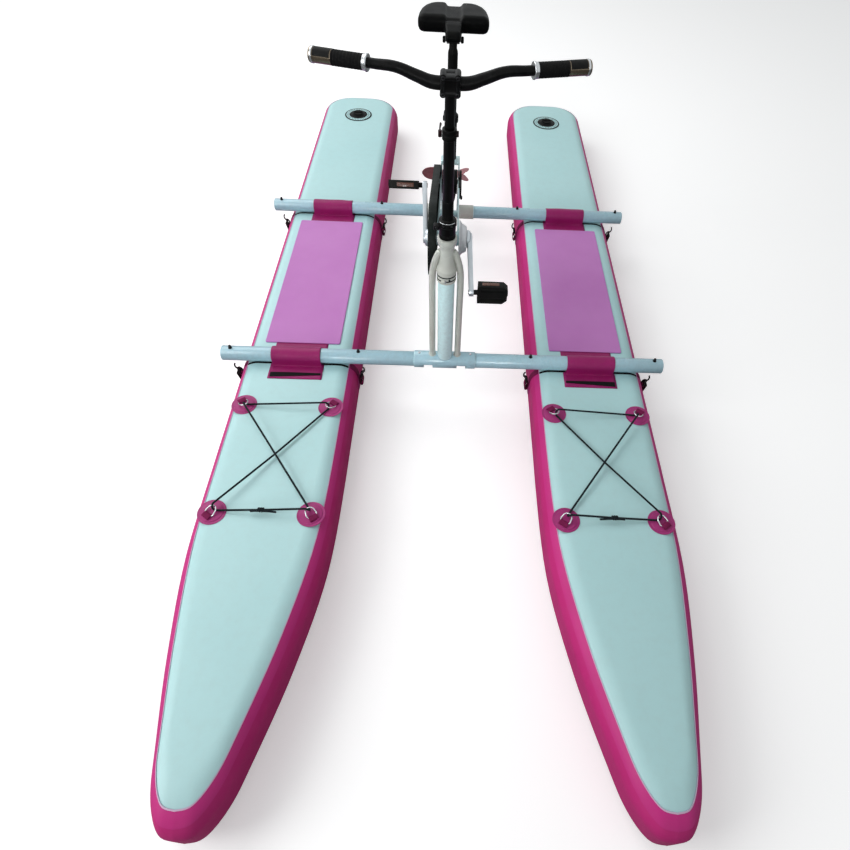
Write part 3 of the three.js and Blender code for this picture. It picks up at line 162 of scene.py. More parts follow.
def drawn_out(name, rings, at, along, steps, closed, soft):
    """A ring of corners drawn out along a line, and widened or narrowed at each step."""
    put_down()
    axis = Vector(along).normalized()
    base = Vector(at)
    radius, height = rings[0]
    bpy.ops.mesh.primitive_circle_add(
        vertices=steps, radius=radius * MM, fill_type="NGON" if closed else "NOTHING",
        location=(base + axis * height) * MM, rotation=axis.to_track_quat("Z", "Y").to_euler())
    piece = called(name)
    open_mesh("FACE" if closed else "EDGE")
    for wide, high in rings[1:]:
        bpy.ops.mesh.extrude_region_move(TRANSFORM_OT_translate={"value": axis * (high - height) * MM})
        if wide != radius:
            bpy.ops.transform.resize(value=(wide / radius,) * 3, center_override=(base + axis * high) * MM)
        radius, height = wide, high
    return settle(piece, soft)


def turned(name, profile, at, along=(0, 0, 1), steps=40, soft=0.6):
    """A piece turned on a lathe, from pairs of radius and height along a line that starts at a point."""
    return drawn_out(name, profile, at, along, steps, True, soft)


def pipe(name, outer, inner, near, far, at, along=(1, 0, 0), steps=44, soft=0.6):
    """A tube with an open bore, turned as a ring that is closed on itself."""
    rings = [(outer, near), (outer, far), (inner, far), (inner, near), (outer, near)]
    return drawn_out(name, rings, at, along, steps, False, soft)


def block(name, size, at, turn=(0, 0, 0), soft=2.0, dish=None):
    """A block with softened edges; dish gives the side that is dished, how far in and how deep."""
    put_down()
    bpy.ops.mesh.primitive_cube_add(size=1, location=Vector(at) * MM, rotation=turn)
    piece = called(name)
    piece.scale = Vector(size) * MM
    bpy.ops.object.transform_apply(location=False, rotation=True, scale=True)
    if dish:
        side, rim, deep = dish
        facing = Vector(side)
        open_mesh()
        choose(piece, lambda middle, normal: normal.dot(facing) > 0.9)
        bpy.ops.mesh.inset(thickness=rim * MM, depth=0)
        bpy.ops.mesh.inset(thickness=rim * 0.2 * MM, depth=-deep * MM)
        close_mesh()
    return settle(piece, soft)


def plate(name, outline, depth, place, soft=0.8):
    """A flat piece: an outline in its own plane, thickened along the plane's normal."""
    put_down()
    bpy.ops.mesh.primitive_circle_add(vertices=len(outline), radius=MM, fill_type="NGON")
    piece = called(name)
    for corner, (x, y) in zip(piece.data.vertices, outline):
        corner.co = (place @ Vector((x, y, 0))) * MM
    lift = (place.to_3x3() @ Vector((0, 0, 1))).normalized() * depth * MM
    open_mesh("FACE")
    bpy.ops.mesh.extrude_region_move(TRANSFORM_OT_translate={"value": lift})
    return settle(piece, soft)


def bent(name, points, radius, sharp=False, loop=False, fine=8, widths=None):
    """A round bar or tube bent along points, with its ends closed."""
    put_down()
    bpy.ops.curve.primitive_bezier_curve_add()
    wire = bpy.context.object
    wire.name = name
    line = wire.data.splines[0]
    line.bezier_points.add(len(points) - 2)
    for k, (knot, point) in enumerate(zip(line.bezier_points, points)):
        knot.co = Vector(point) * MM
        knot.handle_left_type = knot.handle_right_type = "VECTOR" if sharp else "AUTO"
        knot.radius = widths[k] if widths else 1
    line.use_cyclic_u = loop
    wire.data.resolution_u = 1 if sharp else fine
    wire.data.bevel_depth = radius * MM
    wire.data.bevel_resolution = 5
    wire.data.use_fill_caps = True
    bpy.ops.object.convert(target="MESH")
    return settle(called(name), angle=40)


def cloth(name, columns, rows, place, thick, soft=1):
    """A sheet laid as a grid whose points are placed by column and row, then thickened."""
    put_down()
    bpy.ops.mesh.primitive_grid_add(x_subdivisions=columns, y_subdivisions=rows, size=MM)
    piece = called(name)
    for k, point in enumerate(piece.data.vertices):
        point.co = Vector(place(k % (columns + 1) / columns, k // (columns + 1) / rows)) * MM
    open_mesh()
    bpy.ops.mesh.normals_make_consistent(inside=False)
    close_mesh()
    modified(piece, "SOLIDIFY", thickness=thick * MM, offset=0)
    if soft:
        modified(piece, "SUBSURF", levels=soft, render_levels=soft)
    bpy.ops.object.shade_smooth()
    return piece


def dressed(node, soft):
    """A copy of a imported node, merged and softened, that stands for it."""
    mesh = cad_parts[node].data.copy()
    piece = bpy.data.objects.new(f"{node}_skin", mesh)
    bpy.context.scene.collection.objects.link(piece)
    piece.data.materials.clear()
    take(piece)
    open_mesh()
    bpy.ops.mesh.remove_doubles(threshold=0.005 * MM)
    bpy.ops.mesh.dissolve_limited(angle_limit=math.radians(0.5))
    close_mesh()
    settle(piece, soft, 42)
    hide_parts(node)
    return piece


def again(piece, name, move):
    """Another of the same piece, with its own mesh, moved by a matrix."""
    mesh = piece.data.copy()
    mesh.transform(move)
    if move.determinant() < 0:
        mesh.flip_normals()
    twin = bpy.data.objects.new(name, mesh)
    bpy.context.scene.collection.objects.link(twin)
    return twin


def across(piece, name):
    """The same piece on the other side of the boat."""
    return again(piece, name, Matrix.Scale(-1, 4, Vector((1, 0, 0))))


def cut_out(piece, cutter):
    take(piece)
    modified(piece, "BOOLEAN", object=cutter, operation="DIFFERENCE")
    bpy.data.objects.remove(cutter, do_unlink=True)


def as_one(name, pieces):
    take(pieces[0])
    for piece in pieces[1:]:
        piece.select_set(True)
    bpy.ops.object.join()
    return called(name)


def fit(piece, look, body="platform", stands_for=(), slot=None):
    """Gives a piece its finish and hangs it on the body that carries it; its slot is looked up but not kept.
    """
    piece.data.materials.clear()
    piece.data.materials.append(look)
    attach(piece, body)
    slot or SLOT_OF[look.name]
    if stands_for:
        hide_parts(*stands_for)
    return piece


def other_side(name):
    return name.replace("port", "starboard")


def both_sides(piece, look, body="platform", stands_for=()):
    """Fits a piece to port and its mirror copy to starboard, and gives both."""
    twin = across(piece, other_side(piece.name))
    fit(piece, look, body, stands_for)
    fit(twin, look, other_side(body), [other_side(node) for node in stands_for])
    return piece, twin


def another_look(piece, look, wanted):
    """Gives the wanted faces, told by their middle in mm and their normal, one more finish."""
    piece.data.materials.append(look)
    for face in piece.data.polygons:
        if wanted(face.center / MM, face.normal):
            face.material_index = len(piece.data.materials) - 1


# Effects that several finishes share

def effect(name, inputs, outputs):
    group = bpy.data.node_groups.new(name, "ShaderNodeTree")
    for label, value in inputs:
        socket = group.interface.new_socket(name=label, in_out="INPUT", socket_type="NodeSocketFloat")
        socket.default_value = value
    for label in outputs:
        group.interface.new_socket(name=label, in_out="OUTPUT", socket_type="NodeSocketFloat")
    start = group.nodes.new("NodeGroupInput")
    end = group.nodes.new("NodeGroupOutput")
    spots = group.nodes.new("ShaderNodeTexCoord")
    return group, start, end, spots.outputs["Object"]


def sum_of(tree, kind, first, second=None, third=None, clamp=False):
    step = tree.nodes.new("ShaderNodeMath")
    step.operation = kind
    step.use_clamp = clamp
    for socket, value in zip(step.inputs, (first, second, third)):
        if isinstance(value, bpy.types.NodeSocket):
            tree.links.new(value, socket)
        elif value is not None:
            socket.default_value = value
    return step.outputs[0]


def stretched(tree, spots, per_mm, share=(1, 1, 1)):
    """Object coordinates in steps of a size in millimetres."""
    scale = tree.nodes.new("ShaderNodeVectorMath")
    scale.operation = "SCALE"
    tree.links.new(spots, scale.inputs[0])
    tree.links.new(sum_of(tree, "DIVIDE", 1000, per_mm), scale.inputs["Scale"])
    aspect = tree.nodes.new("ShaderNodeVectorMath")
    aspect.operation = "MULTIPLY"
    aspect.inputs[1].default_value = share
    tree.links.new(scale.outputs[0], aspect.inputs[0])
    return aspect.outputs[0]


def cloudy(tree, vector, detail=3.0, rough=0.55):
    cloud = tree.nodes.new("ShaderNodeTexNoise")
    cloud.inputs["Scale"].default_value = 1
    cloud.inputs["Detail"].default_value = detail
    cloud.inputs["Roughness"].default_value = rough
    tree.links.new(vector, cloud.inputs["Vector"])
    return cloud.outputs[0]


def surface_effect(name, pitch):
    """A surface of one pitch, whose height also sets the painted shade in its low parts."""
    group, start, end, spots = effect(name, [("Pitch", pitch)], ["Height", "Shade"])

    def done(height):
        for label in ("Height", "Shade"):
            group.links.new(height, end.inputs[label])
        return group
    return group, start.outputs["Pitch"], spots, done


def make_mottle():
    """Slow changes of shade over a surface, as handling and sunlight leave them."""
    group, start, end, spots = effect("mottle", [("Size", 80), ("Contrast", 1)], ["Factor"])
    cloud = cloudy(group, stretched(group, spots, start.outputs["Size"]), 4)
    spread = sum_of(group, "MULTIPLY", sum_of(group, "SUBTRACT", cloud, 0.5), start.outputs["Contrast"])
    group.links.new(sum_of(group, "ADD", spread, 0.5, clamp=True), end.inputs["Factor"])
    return group


def make_weave():
    """Threads that cross over and under each other."""
    group, pitch, spots, done = surface_effect("weave", 1.2)
    grid = stretched(group, spots, pitch, (math.pi,) * 3)
    wave = group.nodes.new("ShaderNodeVectorMath")
    wave.operation = "SINE"
    group.links.new(grid, wave.inputs[0])
    split = group.nodes.new("ShaderNodeSeparateXYZ")
    group.links.new(wave.outputs[0], split.inputs[0])
    x, y, z = split.outputs
    first = sum_of(group, "MULTIPLY", x, y)
    second = sum_of(group, "MULTIPLY_ADD", y, z, first)
    whole = sum_of(group, "MULTIPLY_ADD", z, x, second)
    return done(sum_of(group, "MULTIPLY_ADD", whole, 0.4, 0.5, clamp=True))


def make_dimple():
    """Small round dimples pressed into coated fabric or foam."""
    group, pitch, spots, done = surface_effect("dimple", 3)
    cells = group.nodes.new("ShaderNodeTexVoronoi")
    cells.inputs["Scale"].default_value = 1
    cells.inputs["Randomness"].default_value = 0.35
    group.links.new(stretched(group, spots, pitch), cells.inputs["Vector"])
    return done(sum_of(group, "SMOOTH_MIN", cells.outputs["Distance"], 0.55, 0.2))


def make_grain():
    """The fine uneven grain of moulded plastic, rubber or powder coat."""
    group, pitch, spots, done = surface_effect("grain", 1)
    return done(cloudy(group, stretched(group, spots, pitch), 2, 0.6))


def make_brushed():
    """Long scratches round or along turned metal."""
    group, pitch, spots, done = surface_effect("brushed", 1)
    return done(cloudy(group, stretched(group, spots, pitch, (0.05, 1, 1)), 3, 0.7))


def in_patches(group, start, end, where, cloud, low, gain):
    """Ends an effect as a mask that shows only where the cloud is over its low mark."""
    patchy = sum_of(group, "MULTIPLY", sum_of(group, "SUBTRACT", cloud, low), gain, clamp=True)
    mask = sum_of(group, "MULTIPLY", where, patchy)
    group.links.new(sum_of(group, "MULTIPLY", mask, start.outputs["Amount"], clamp=True), end.inputs["Mask"])
    return group


def make_wear():
    """Paint or plating rubbed thin along the edges."""
    group, start, end, spots = effect("edge_wear", [("Size", 12), ("Amount", 0.5)], ["Mask"])
    edges = group.nodes.new("ShaderNodeNewGeometry")
    sharp = sum_of(group, "SUBTRACT", edges.outputs["Pointiness"], 0.52)
    sharp = sum_of(group, "MULTIPLY", sharp, 14, clamp=True)
    cloud = cloudy(group, stretched(group, spots, start.outputs["Size"]), 5, 0.7)
    return in_patches(group, start, end, sharp, cloud, 0.42, 5)


def make_dust():
    """Dust and dried splashes that lie where a surface faces up."""
    group, start, end, spots = effect("dust", [("Size", 30), ("Amount", 0.3)], ["Mask"])
    faces = group.nodes.new("ShaderNodeNewGeometry")
    split = group.nodes.new("ShaderNodeSeparateXYZ")
    group.links.new(faces.outputs["Normal"], split.inputs[0])
    level = sum_of(group, "MULTIPLY_ADD", split.outputs["Z"], 0.6, 0.35, clamp=True)
    cloud = cloudy(group, stretched(group, spots, start.outputs["Size"]), 6, 0.65)
    return in_patches(group, start, end, level, cloud, 0.45, 3)


EFFECTS = {
    "mottle": make_mottle(), "weave": make_weave(), "dimple": make_dimple(), "grain": make_grain(),
    "brushed": make_brushed(), "wear": make_wear(), "dust": make_dust(),
}


def linear(colour):
    """A colour read off a screen, as the shader wants it."""
    return tuple((c / 12.92 if c <= 0.04045 else ((c + 0.055) / 1.055) ** 2.4) for c in colour) + (1,)


def placed(tree, kind, **values):
    node = tree.nodes.new("ShaderNodeGroup")
    node.node_tree = EFFECTS[kind]
    for label, value in values.items():
        node.inputs[label].default_value = value
    return node


def mixed(tree, factor, first, second):
    mix = tree.nodes.new("ShaderNodeMix")
    mix.data_type = "RGBA"
    tree.links.new(factor, mix.inputs[0])
    for index, value in ((6, first), (7, second)):
        if isinstance(value, bpy.types.NodeSocket):
            tree.links.new(value, mix.inputs[index])
        else:
            mix.inputs[index].default_value = value
    return mix.outputs[2]


DUST_COLOUR = (0.62, 0.6, 0.56)


def finish(name, colour, partner, rough, metal=0.0, surface="grain", pitch=1.0, depth=0.05, patch=90,
           worn=None, wear=0.6, dust=0.0, spread=0.08, shade=0.0, **fixed):
    """A finish: two near colours in slow patches, a fine surface, worn edges and dust, on one shader; shade
    paints shade into the fine surface's low parts.
    """
    look = bpy.data.materials.new(name)
    look.use_nodes = True
    tree = look.node_tree
    shader = tree.nodes["Principled BSDF"]
    shader.inputs["Metallic"].default_value = metal
    for label, value in fixed.items():
        shader.inputs[label.replace("_", " ")].default_value = value
    patches = placed(tree, "mottle", Size=patch, Contrast=1.5).outputs["Factor"]
    paint = mixed(tree, patches, linear(colour), linear(partner))
    fine = placed(tree, surface, Pitch=pitch)
    # Painted shade: the fine surface's low parts are darkened by up to 0.6 of shade
    if shade:
        recess_shade_colour = tuple(c * (1 - shade) for c in linear(colour)[:3]) + (1,)
        lift = sum_of(tree, "SUBTRACT", 1, fine.outputs["Shade"], clamp=True)
        paint = mixed(tree, sum_of(tree, "MULTIPLY", lift, 0.6, clamp=True), paint, recess_shade_colour)
    gloss = sum_of(tree, "MULTIPLY_ADD", patches, 2 * spread, rough - spread, clamp=True)
    if worn:
        rubbed = placed(tree, "wear", Amount=wear).outputs["Mask"]
        paint = mixed(tree, rubbed, paint, linear(worn))
        gloss = sum_of(tree, "MULTIPLY_ADD", rubbed, 0.12, gloss, clamp=True)
    if dust:
        grey = placed(tree, "dust", Amount=dust).outputs["Mask"]
        paint = mixed(tree, grey, paint, linear(DUST_COLOUR))
        gloss = sum_of(tree, "MULTIPLY_ADD", grey, 0.4, gloss, clamp=True)
    tree.links.new(paint, shader.inputs["Base Color"])
    tree.links.new(gloss, shader.inputs["Roughness"])
    bump = tree.nodes.new("ShaderNodeBump")
    bump.inputs["Distance"].default_value = depth * MM
    tree.links.new(fine.outputs["Height"], bump.inputs["Height"])
    tree.links.new(bump.outputs["Normal"], shader.inputs["Normal"])
    return look


COATED = {"surface": "weave", "pitch": 1.1, "depth": 0.08}
# Webbing darkened in the weave's low parts: painted shade
STRAP = {"surface": "weave", "pitch": 2.2, "depth": 0.4, "patch": 30, "shade": 0.4}
PAINT = {"pitch": 2.4, "wear": 0.35, "dust": 0.08}
DECK_FABRIC = finish("deck_fabric", (0.735, 0.885, 0.89), (0.70, 0.86, 0.868), 0.5, surface="dimple",
                     pitch=2.6, depth=0.12, patch=420, dust=0.08, spread=0.05)
BAND_FABRIC = finish("band_fabric", (0.80, 0.19, 0.50), (0.74, 0.15, 0.45), 0.5, patch=160, dust=0.04,
                     Specular_IOR_Level=0.2, **COATED)
# The upper lap is a layer of its own; its tint, slightly lighter and bluer than the band, is painted light of
# the upward-facing shoulder
LAP_FABRIC = finish("lap_fabric", (0.81, 0.20, 0.53), (0.76, 0.17, 0.49), 0.44, patch=120, dust=0.04,
                    Specular_IOR_Level=0.25, **COATED)
SEAM_TAPE = finish("seam_tape", (0.86, 0.74, 0.84), (0.82, 0.68, 0.80), 0.5, surface="weave", pitch=1.1,
                   depth=0.06, patch=80, dust=0.06, Specular_IOR_Level=0.2)
SLEEVE_FABRIC = finish("sleeve_fabric", (0.60, 0.10, 0.39), (0.53, 0.07, 0.34), 0.42, surface="weave",
                       pitch=1.4, depth=0.12, patch=70, dust=0.04, Specular_IOR_Level=0.25)
PATCH_FABRIC = finish("patch_fabric", (0.67, 0.22, 0.48), (0.61, 0.17, 0.43), 0.42, patch=50,
                      Specular_IOR_Level=0.25, **COATED)
WEBBING = finish("pink_webbing", (0.52, 0.10, 0.32), (0.44, 0.07, 0.27), 0.75,
                 Specular_IOR_Level=0.2, **STRAP)
# Black for the strips of painted shadow before the tubes and in the flap slits, with a webbing weave
SHADOW_STRIP_BLACK = finish("painted_shadow_black", (0.03, 0.03, 0.035), (0.05, 0.05, 0.055), 0.8,
                       Specular_IOR_Level=0.15, **STRAP)
PAD_FOAM = finish("pad_foam", (0.79, 0.52, 0.79), (0.74, 0.45, 0.74), 0.72, surface="dimple", pitch=1.8,
                  depth=0.2, patch=260, dust=0.05, Sheen_Weight=0.1)
WHITE_PAINT = finish("white_paint", (0.85, 0.965, 0.975), (0.81, 0.93, 0.945), 0.3, patch=140,
                     worn=(0.55, 0.56, 0.56), Coat_Weight=0.2, **PAINT)
TUBE_PAINT = finish("tube_paint", (0.655, 0.80, 0.85), (0.62, 0.765, 0.82), 0.28, patch=140,
                    worn=(0.50, 0.53, 0.55), Coat_Weight=0.25, **PAINT)
CREAM_PAINT = finish("cream_paint", (0.80, 0.82, 0.79), (0.73, 0.73, 0.70), 0.3, worn=(0.50, 0.50, 0.48),
                     Coat_Weight=0.2, **PAINT)
BLACK_PAINT = finish("black_paint", (0.022, 0.022, 0.024), (0.038, 0.036, 0.038), 0.36, pitch=1.6, depth=0.06,
                     patch=60, worn=(0.30, 0.31, 0.32), wear=0.22, dust=0.02, Specular_IOR_Level=0.09)
MOULDED = finish("moulded_black", (0.03, 0.033, 0.033), (0.05, 0.053, 0.053), 0.58, pitch=0.8, depth=0.12,
                 patch=50, worn=(0.22, 0.22, 0.22), wear=0.22, dust=0.03, Specular_IOR_Level=0.12)
CASE_GREY = finish("case_grey", (0.06, 0.09, 0.085), (0.04, 0.06, 0.056), 0.5, pitch=0.8, depth=0.1, patch=70,
                   worn=(0.24, 0.25, 0.24), wear=0.3, dust=0.04, Specular_IOR_Level=0.1)
RUBBER = finish("grip_rubber", (0.022, 0.022, 0.026), (0.036, 0.036, 0.04), 0.8, surface="dimple", pitch=1.8,
                depth=0.5, patch=40, dust=0.03, Specular_IOR_Level=0.15)
VINYL = finish("saddle_cover", (0.016, 0.018, 0.02), (0.026, 0.029, 0.032), 0.42, surface="dimple",
               pitch=1.3, depth=0.10, patch=50, dust=0.02, Specular_IOR_Level=0.05)
# Cord cover darkened in the weave's low parts: painted shade
CORD_COVER = finish("cord_cover", (0.04, 0.08, 0.10), (0.07, 0.12, 0.14), 0.75, surface="weave", depth=0.35,
                    patch=20, shade=0.4, Specular_IOR_Level=0.2)
STEEL = finish("bright_steel", (0.80, 0.81, 0.82), (0.70, 0.71, 0.72), 0.24, 1.0, surface="brushed",
               pitch=0.8, depth=0.02, patch=30, dust=0.06, spread=0.06)
SILVER = finish("satin_alloy", (0.80, 0.82, 0.84), (0.68, 0.71, 0.73), 0.34, 0.85, surface="brushed",
                pitch=0.8, depth=0.03, patch=45, dust=0.06, spread=0.07)
CAST_ALLOY = finish("cast_alloy", (0.94, 0.95, 0.96), (0.86, 0.87, 0.89), 0.48, 0.1, pitch=1.4, depth=0.15,
                    patch=30, worn=(0.9, 0.9, 0.9), wear=0.4, dust=0.1)
DARK_STEEL = finish("dark_steel", (0.10, 0.10, 0.11), (0.16, 0.16, 0.17), 0.38, 0.7, surface="brushed",
                    pitch=0.6, depth=0.03, patch=20, worn=(0.5, 0.5, 0.5), wear=0.4, Specular_IOR_Level=0.2)
CHAIN_STEEL = finish("oiled_chain", (0.30, 0.27, 0.23), (0.45, 0.42, 0.38), 0.4, 0.9, depth=0.1, patch=16)
BRASS = finish("end_ring", (0.50, 0.455, 0.39), (0.38, 0.34, 0.29), 0.26, 0.9, surface="brushed", pitch=0.7,
               depth=0.02, patch=25, spread=0.06)
# Bronze tinted pink: the pink is a painted reflection of a red floor
BRONZE_PAINTED_REFLECTION = finish("blade_bronze", (0.52, 0.24, 0.28), (0.66, 0.44, 0.46), 0.42, 0.35, surface="brushed",
                pitch=1.2, depth=0.04, patch=40, worn=(0.75, 0.6, 0.55), wear=0.5)
AMBER = finish("amber_reflector", (0.37, 0.18, 0.10), (0.28, 0.13, 0.07), 0.25, surface="dimple", pitch=2.2,
               depth=0.6, patch=20, Coat_Weight=0.2)
MAROON = finish("maroon_knob", (0.15, 0.05, 0.07), (0.09, 0.035, 0.05), 0.4, pitch=0.8, depth=0.06, patch=15,
                Specular_IOR_Level=0.2)
SLOTS = (
    ("deck_fabric", [DECK_FABRIC]),
    ("wrap_fabric", [BAND_FABRIC, LAP_FABRIC, SEAM_TAPE, SLEEVE_FABRIC, PATCH_FABRIC, WEBBING]),
    ("pad_foam", [PAD_FOAM]),
    ("soft_black", [SHADOW_STRIP_BLACK, CORD_COVER, RUBBER, VINYL]),
    ("frame_white", [WHITE_PAINT, TUBE_PAINT, CREAM_PAINT]),
    ("frame_black", [BLACK_PAINT, MAROON]),
    ("moulded_black", [MOULDED, CASE_GREY, AMBER]),
    ("steel", [STEEL, DARK_STEEL, CHAIN_STEEL, BRASS]),
    ("silver", [SILVER, CAST_ALLOY]),
    ("blade_metal", [BRONZE_PAINTED_REFLECTION]),
)
SLOT_OF = {look.name: slot for slot, looks in SLOTS for look in looks}


# The camera stands over the bows and looks down towards the stern

CAMERA_AT = (0.0127, -1.7835, 1.6927)
CAMERA_TURN = (0.0540, 0.8967, -0.0703)
CAMERA_SHIFT = (-0.04943, -0.00942)
CAMERA_LENS = 25.412


def stand_camera():
    """Turns the camera by its yaw, pitch and roll in radians, and sets its lens and shift."""
    yaw, pitch, roll = CAMERA_TURN
    ahead = Vector((math.sin(yaw) * math.cos(pitch), math.cos(yaw) * math.cos(pitch), -math.sin(pitch)))
    level = Vector((math.cos(yaw), -math.sin(yaw), 0))
    down = ahead.cross(level)
    right = math.cos(roll) * level + math.sin(roll) * down
    low = math.cos(roll) * down - math.sin(roll) * level
    put_down()
    bpy.ops.object.camera_add()
    camera = bpy.context.object
    turn = Matrix((right, -low, -ahead)).transposed().to_4x4()
    camera.matrix_world = Matrix.Translation(CAMERA_AT) @ turn
    camera.data.sensor_width = 36
    camera.data.lens = CAMERA_LENS
    camera.data.shift_x, camera.data.shift_y = CAMERA_SHIFT
    bpy.context.scene.camera = camera


stand_camera()

# Lashing patches, rings and the elastic cord of each bow

PATCH_X = 138
PATCH_MIDDLE_Y = -748
PATCH_PITCH = 392
PATCH_Z = DECK + PRINT_LIFT
RING_TILT = math.radians(22)
CORD_RADIUS = 3
CORD_Z = 194.34
EYE_X = 139.45
EYE_Y = 193.09


def lash_route():
    """The cord comes in over each ring, turns through it and leaves under it."""
    corners = [Vector((sx * EYE_X, sy * EYE_Y, 0)) for sx, sy in ((-1, -1), (1, 1), (-1, 1), (1, -1))]
    stops = [
        Vector((-2, -EYE_Y, 0)), corners[0], Vector((0, 0, 4)), corners[1],
        corners[2], Vector((0, 0, -4)), corners[3], Vector((2, -EYE_Y, 0)),
    ]
    points = [stops[0]]
    for before, stop, after in zip(stops, stops[1:], stops[2:]):
        if stop not in corners:
            points.append(stop)
            continue
        into = stop + (before - stop).normalized() * 14
        out = stop + (after - stop).normalized() * 14
        into.z = 12
        out.z = -8
        for k in range(13):
            share = k / 12
            points.append((1 - share) ** 2 * into + 2 * share * (1 - share) * stop + share ** 2 * out)
    points.append(stops[-1])
    return [point + Vector((PONTOON_X, PATCH_MIDDLE_Y, CORD_Z)) for point in points]


def lash_knot():
    """Two turns of cord round itself, with a tail laid along each side."""
    middle = Vector((PONTOON_X, PATCH_MIDDLE_Y - EYE_Y, CORD_Z))
    turns = []
    for k in range(25):
        angle = 2 * math.pi * k / 10
        turns.append(middle + Vector((-7 + 14 * k / 24, 4.6 * math.cos(angle), 4.6 * math.sin(angle))))
    lump = bent("lash_knot_turns", turns, CORD_RADIUS * 0.9, fine=3)
    tails = []
    for way, reach in ((-1, 52), (1, 34)):
        line = [middle + Vector((way * x, -5.2 + 0.6 * math.sin(x / 9), 2.2 - x / 20))
                for x in range(4, reach, 8)]
        tails.append(bent(f"lash_tail_{way}", line, CORD_RADIUS * 0.95, fine=3))
    return as_one("lash_knot_port", [lump] + tails)


cord_route = lash_route()
cord_port = bent("lash_cord_port_line", cord_route, CORD_RADIUS, sharp=True)
knot_port = lash_knot()
cords = both_sides(cord_port, CORD_COVER, stands_for=["lash_cord_port"])
knots = both_sides(knot_port, CORD_COVER)
for (_, side), line, knot in zip(SIDES, cords, knots):
    laid = [(side * x * MM, y * MM, z * MM) for x, y, z in cord_route]
    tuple(laid[0])
    sum(math.dist(a, b) for a, b in zip(laid, laid[1:]))


def lash_patch(name, side, out, row):
    """A round fabric patch in two layers, a webbing loop and the steel ring that it holds."""
    middle = Vector((side * (PONTOON_X + out * PATCH_X), PATCH_MIDDLE_Y + row * PATCH_PITCH / 2, PATCH_Z))
    inward = math.atan2(-row * PATCH_PITCH / 2, -side * out * PATCH_X)
    place = Matrix.Translation(middle * MM) @ Matrix.Rotation(inward, 4, "Z")
    disc = turned(f"patch_{name}", [
        (39.4, 0), (40, 0.5), (39.6, 1.2), (32.5, 1.2), (31.5, 2.6), (29.5, 3.2), (8, 3.4)],
        (0, 0, 0), steps=56, soft=0)
    loop = cloth(f"patch_tab_{name}", 6, 18, lambda u, v: (
        -16 - 9 * math.cos(2 * math.pi * v), -13 + 26 * u, 5.4 + 3.0 * math.sin(2 * math.pi * v)), 1.3)
    ring = []
    for k in range(13):
        angle = math.radians(-90 + 15 * k)
        ring.append((13 + 13 * math.cos(angle), 13 * math.sin(angle)))
    ring = [(0.5, -13)] + ring + [(0.5, 13)]
    tilt = Matrix.Rotation(-RING_TILT, 3, "Y")
    points = [tilt @ Vector((x, y, 0)) + Vector((-10, 0, 5.9)) for x, y in ring]
    wire = bent(f"patch_ring_{name}", points, 2.0, loop=True, fine=3)
    for piece, look in ((disc, PATCH_FABRIC), (loop, WEBBING), (wire, STEEL)):
        piece.data.transform(place)
        fit(piece, look)
    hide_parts(f"lash_patch_{name}")


for end_name, row in (("rear", 1), ("front", -1)):
    for edge_name, out in (("outer", 1), ("inner", -1)):
        for side_name, side in SIDES:
            lash_patch(f"{end_name}_{edge_name}_{side_name}", side, out, row)


# Pontoons: the fabric body with its side band, upper lap and deck seam, and the deck pad

def bow_share(share):
    """A smooth line through the bow's outline shares."""
    last = len(BOW_OUTLINE) - 1
    k = min(int(share * last), last - 1)
    t = share * last - k
    before, near, far, after = (Vector(BOW_OUTLINE[min(max(k + j, 0), last)]) for j in (-1, 0, 1, 2))
    pull_near = (far - before) * 0.5
    pull_far = (after - near) * 0.5
    return ((2 * near - 2 * far + pull_near + pull_far) * t ** 3
            + (-3 * near + 3 * far - 2 * pull_near - pull_far) * t ** 2 + pull_near * t + near)


def pontoon_ring(inset, height):
    """One ring round the pontoon, drawn in from its widest outline."""
    half = PONTOON_HALF - inset
    tip = -PONTOON_LENGTH / 2 + 2 * inset
    corner = STERN_CORNER - inset
    corner_y = PONTOON_LENGTH / 2 - inset - corner
    stations = []
    for k in range(37):
        along, wide = bow_share(k / 36)
        stations.append((half * wide, tip + BOW_TAPER * along, BOW_SPLAY * (1 - along) ** 2))
    for k in range(1, 12):
        stations.append((half, tip + BOW_TAPER + (corner_y - tip - BOW_TAPER) * k / 12, 0))
    for k in range(15):
        turn = math.pi / 2 * k / 14
        stations.append((half - corner + corner * math.cos(turn), corner_y + corner * math.sin(turn), 0))
    right = [Vector((PONTOON_X + splay + wide, y, height)) for wide, y, splay in stations]
    left = [Vector((PONTOON_X + splay - wide, y, height)) for wide, y, splay in reversed(stations[1:])]
    return right + left


def shoulder_spot(degrees, proud=0.0):
    """Inset and height of a point on the side wall; -90 is the bottom, 90 the deck."""
    turn = math.radians(degrees)
    middle = DECK - SHOULDER if degrees >= 0 else SHOULDER
    reach = SHOULDER + proud
    return SHOULDER - reach * math.cos(turn), middle + reach * math.sin(turn)


def ringed(name, rings, closed):
    """A surface pulled up ring by ring from an outline."""
    put_down()
    fill = "NGON" if closed else "NOTHING"
    bpy.ops.mesh.primitive_circle_add(vertices=len(rings[0]), radius=1, fill_type=fill)
    piece = called(name)
    for corner, point in zip(piece.data.vertices, rings[0]):
        corner.co = point * MM
    open_mesh("FACE" if closed else "EDGE")
    for low, high in zip(rings, rings[1:]):
        bpy.ops.mesh.extrude_region_move(TRANSFORM_OT_translate={"value": (0, 0, 0)})
        shape = bmesh.from_edit_mesh(piece.data)
        below = kdtree.KDTree(len(low))
        for k, spot in enumerate(low):
            below.insert(spot, k)
        below.balance()
        for corner in shape.verts:
            if corner.select:
                corner.co = high[below.find(corner.co / MM)[1]] * MM
        bmesh.update_edit_mesh(piece.data)
    bpy.ops.mesh.select_all(action="SELECT")
    bpy.ops.mesh.normals_make_consistent(inside=False)
    close_mesh()
    return piece


def pontoon(name):
    turns = list(range(-90, 1, 9)) + list(range(0, 91, 9))
    rings = [pontoon_ring(*shoulder_spot(t if k != 11 else 0.001)) for k, t in enumerate(turns)]
    body = ringed(name, rings, True)
    return settle(body, angle=60)


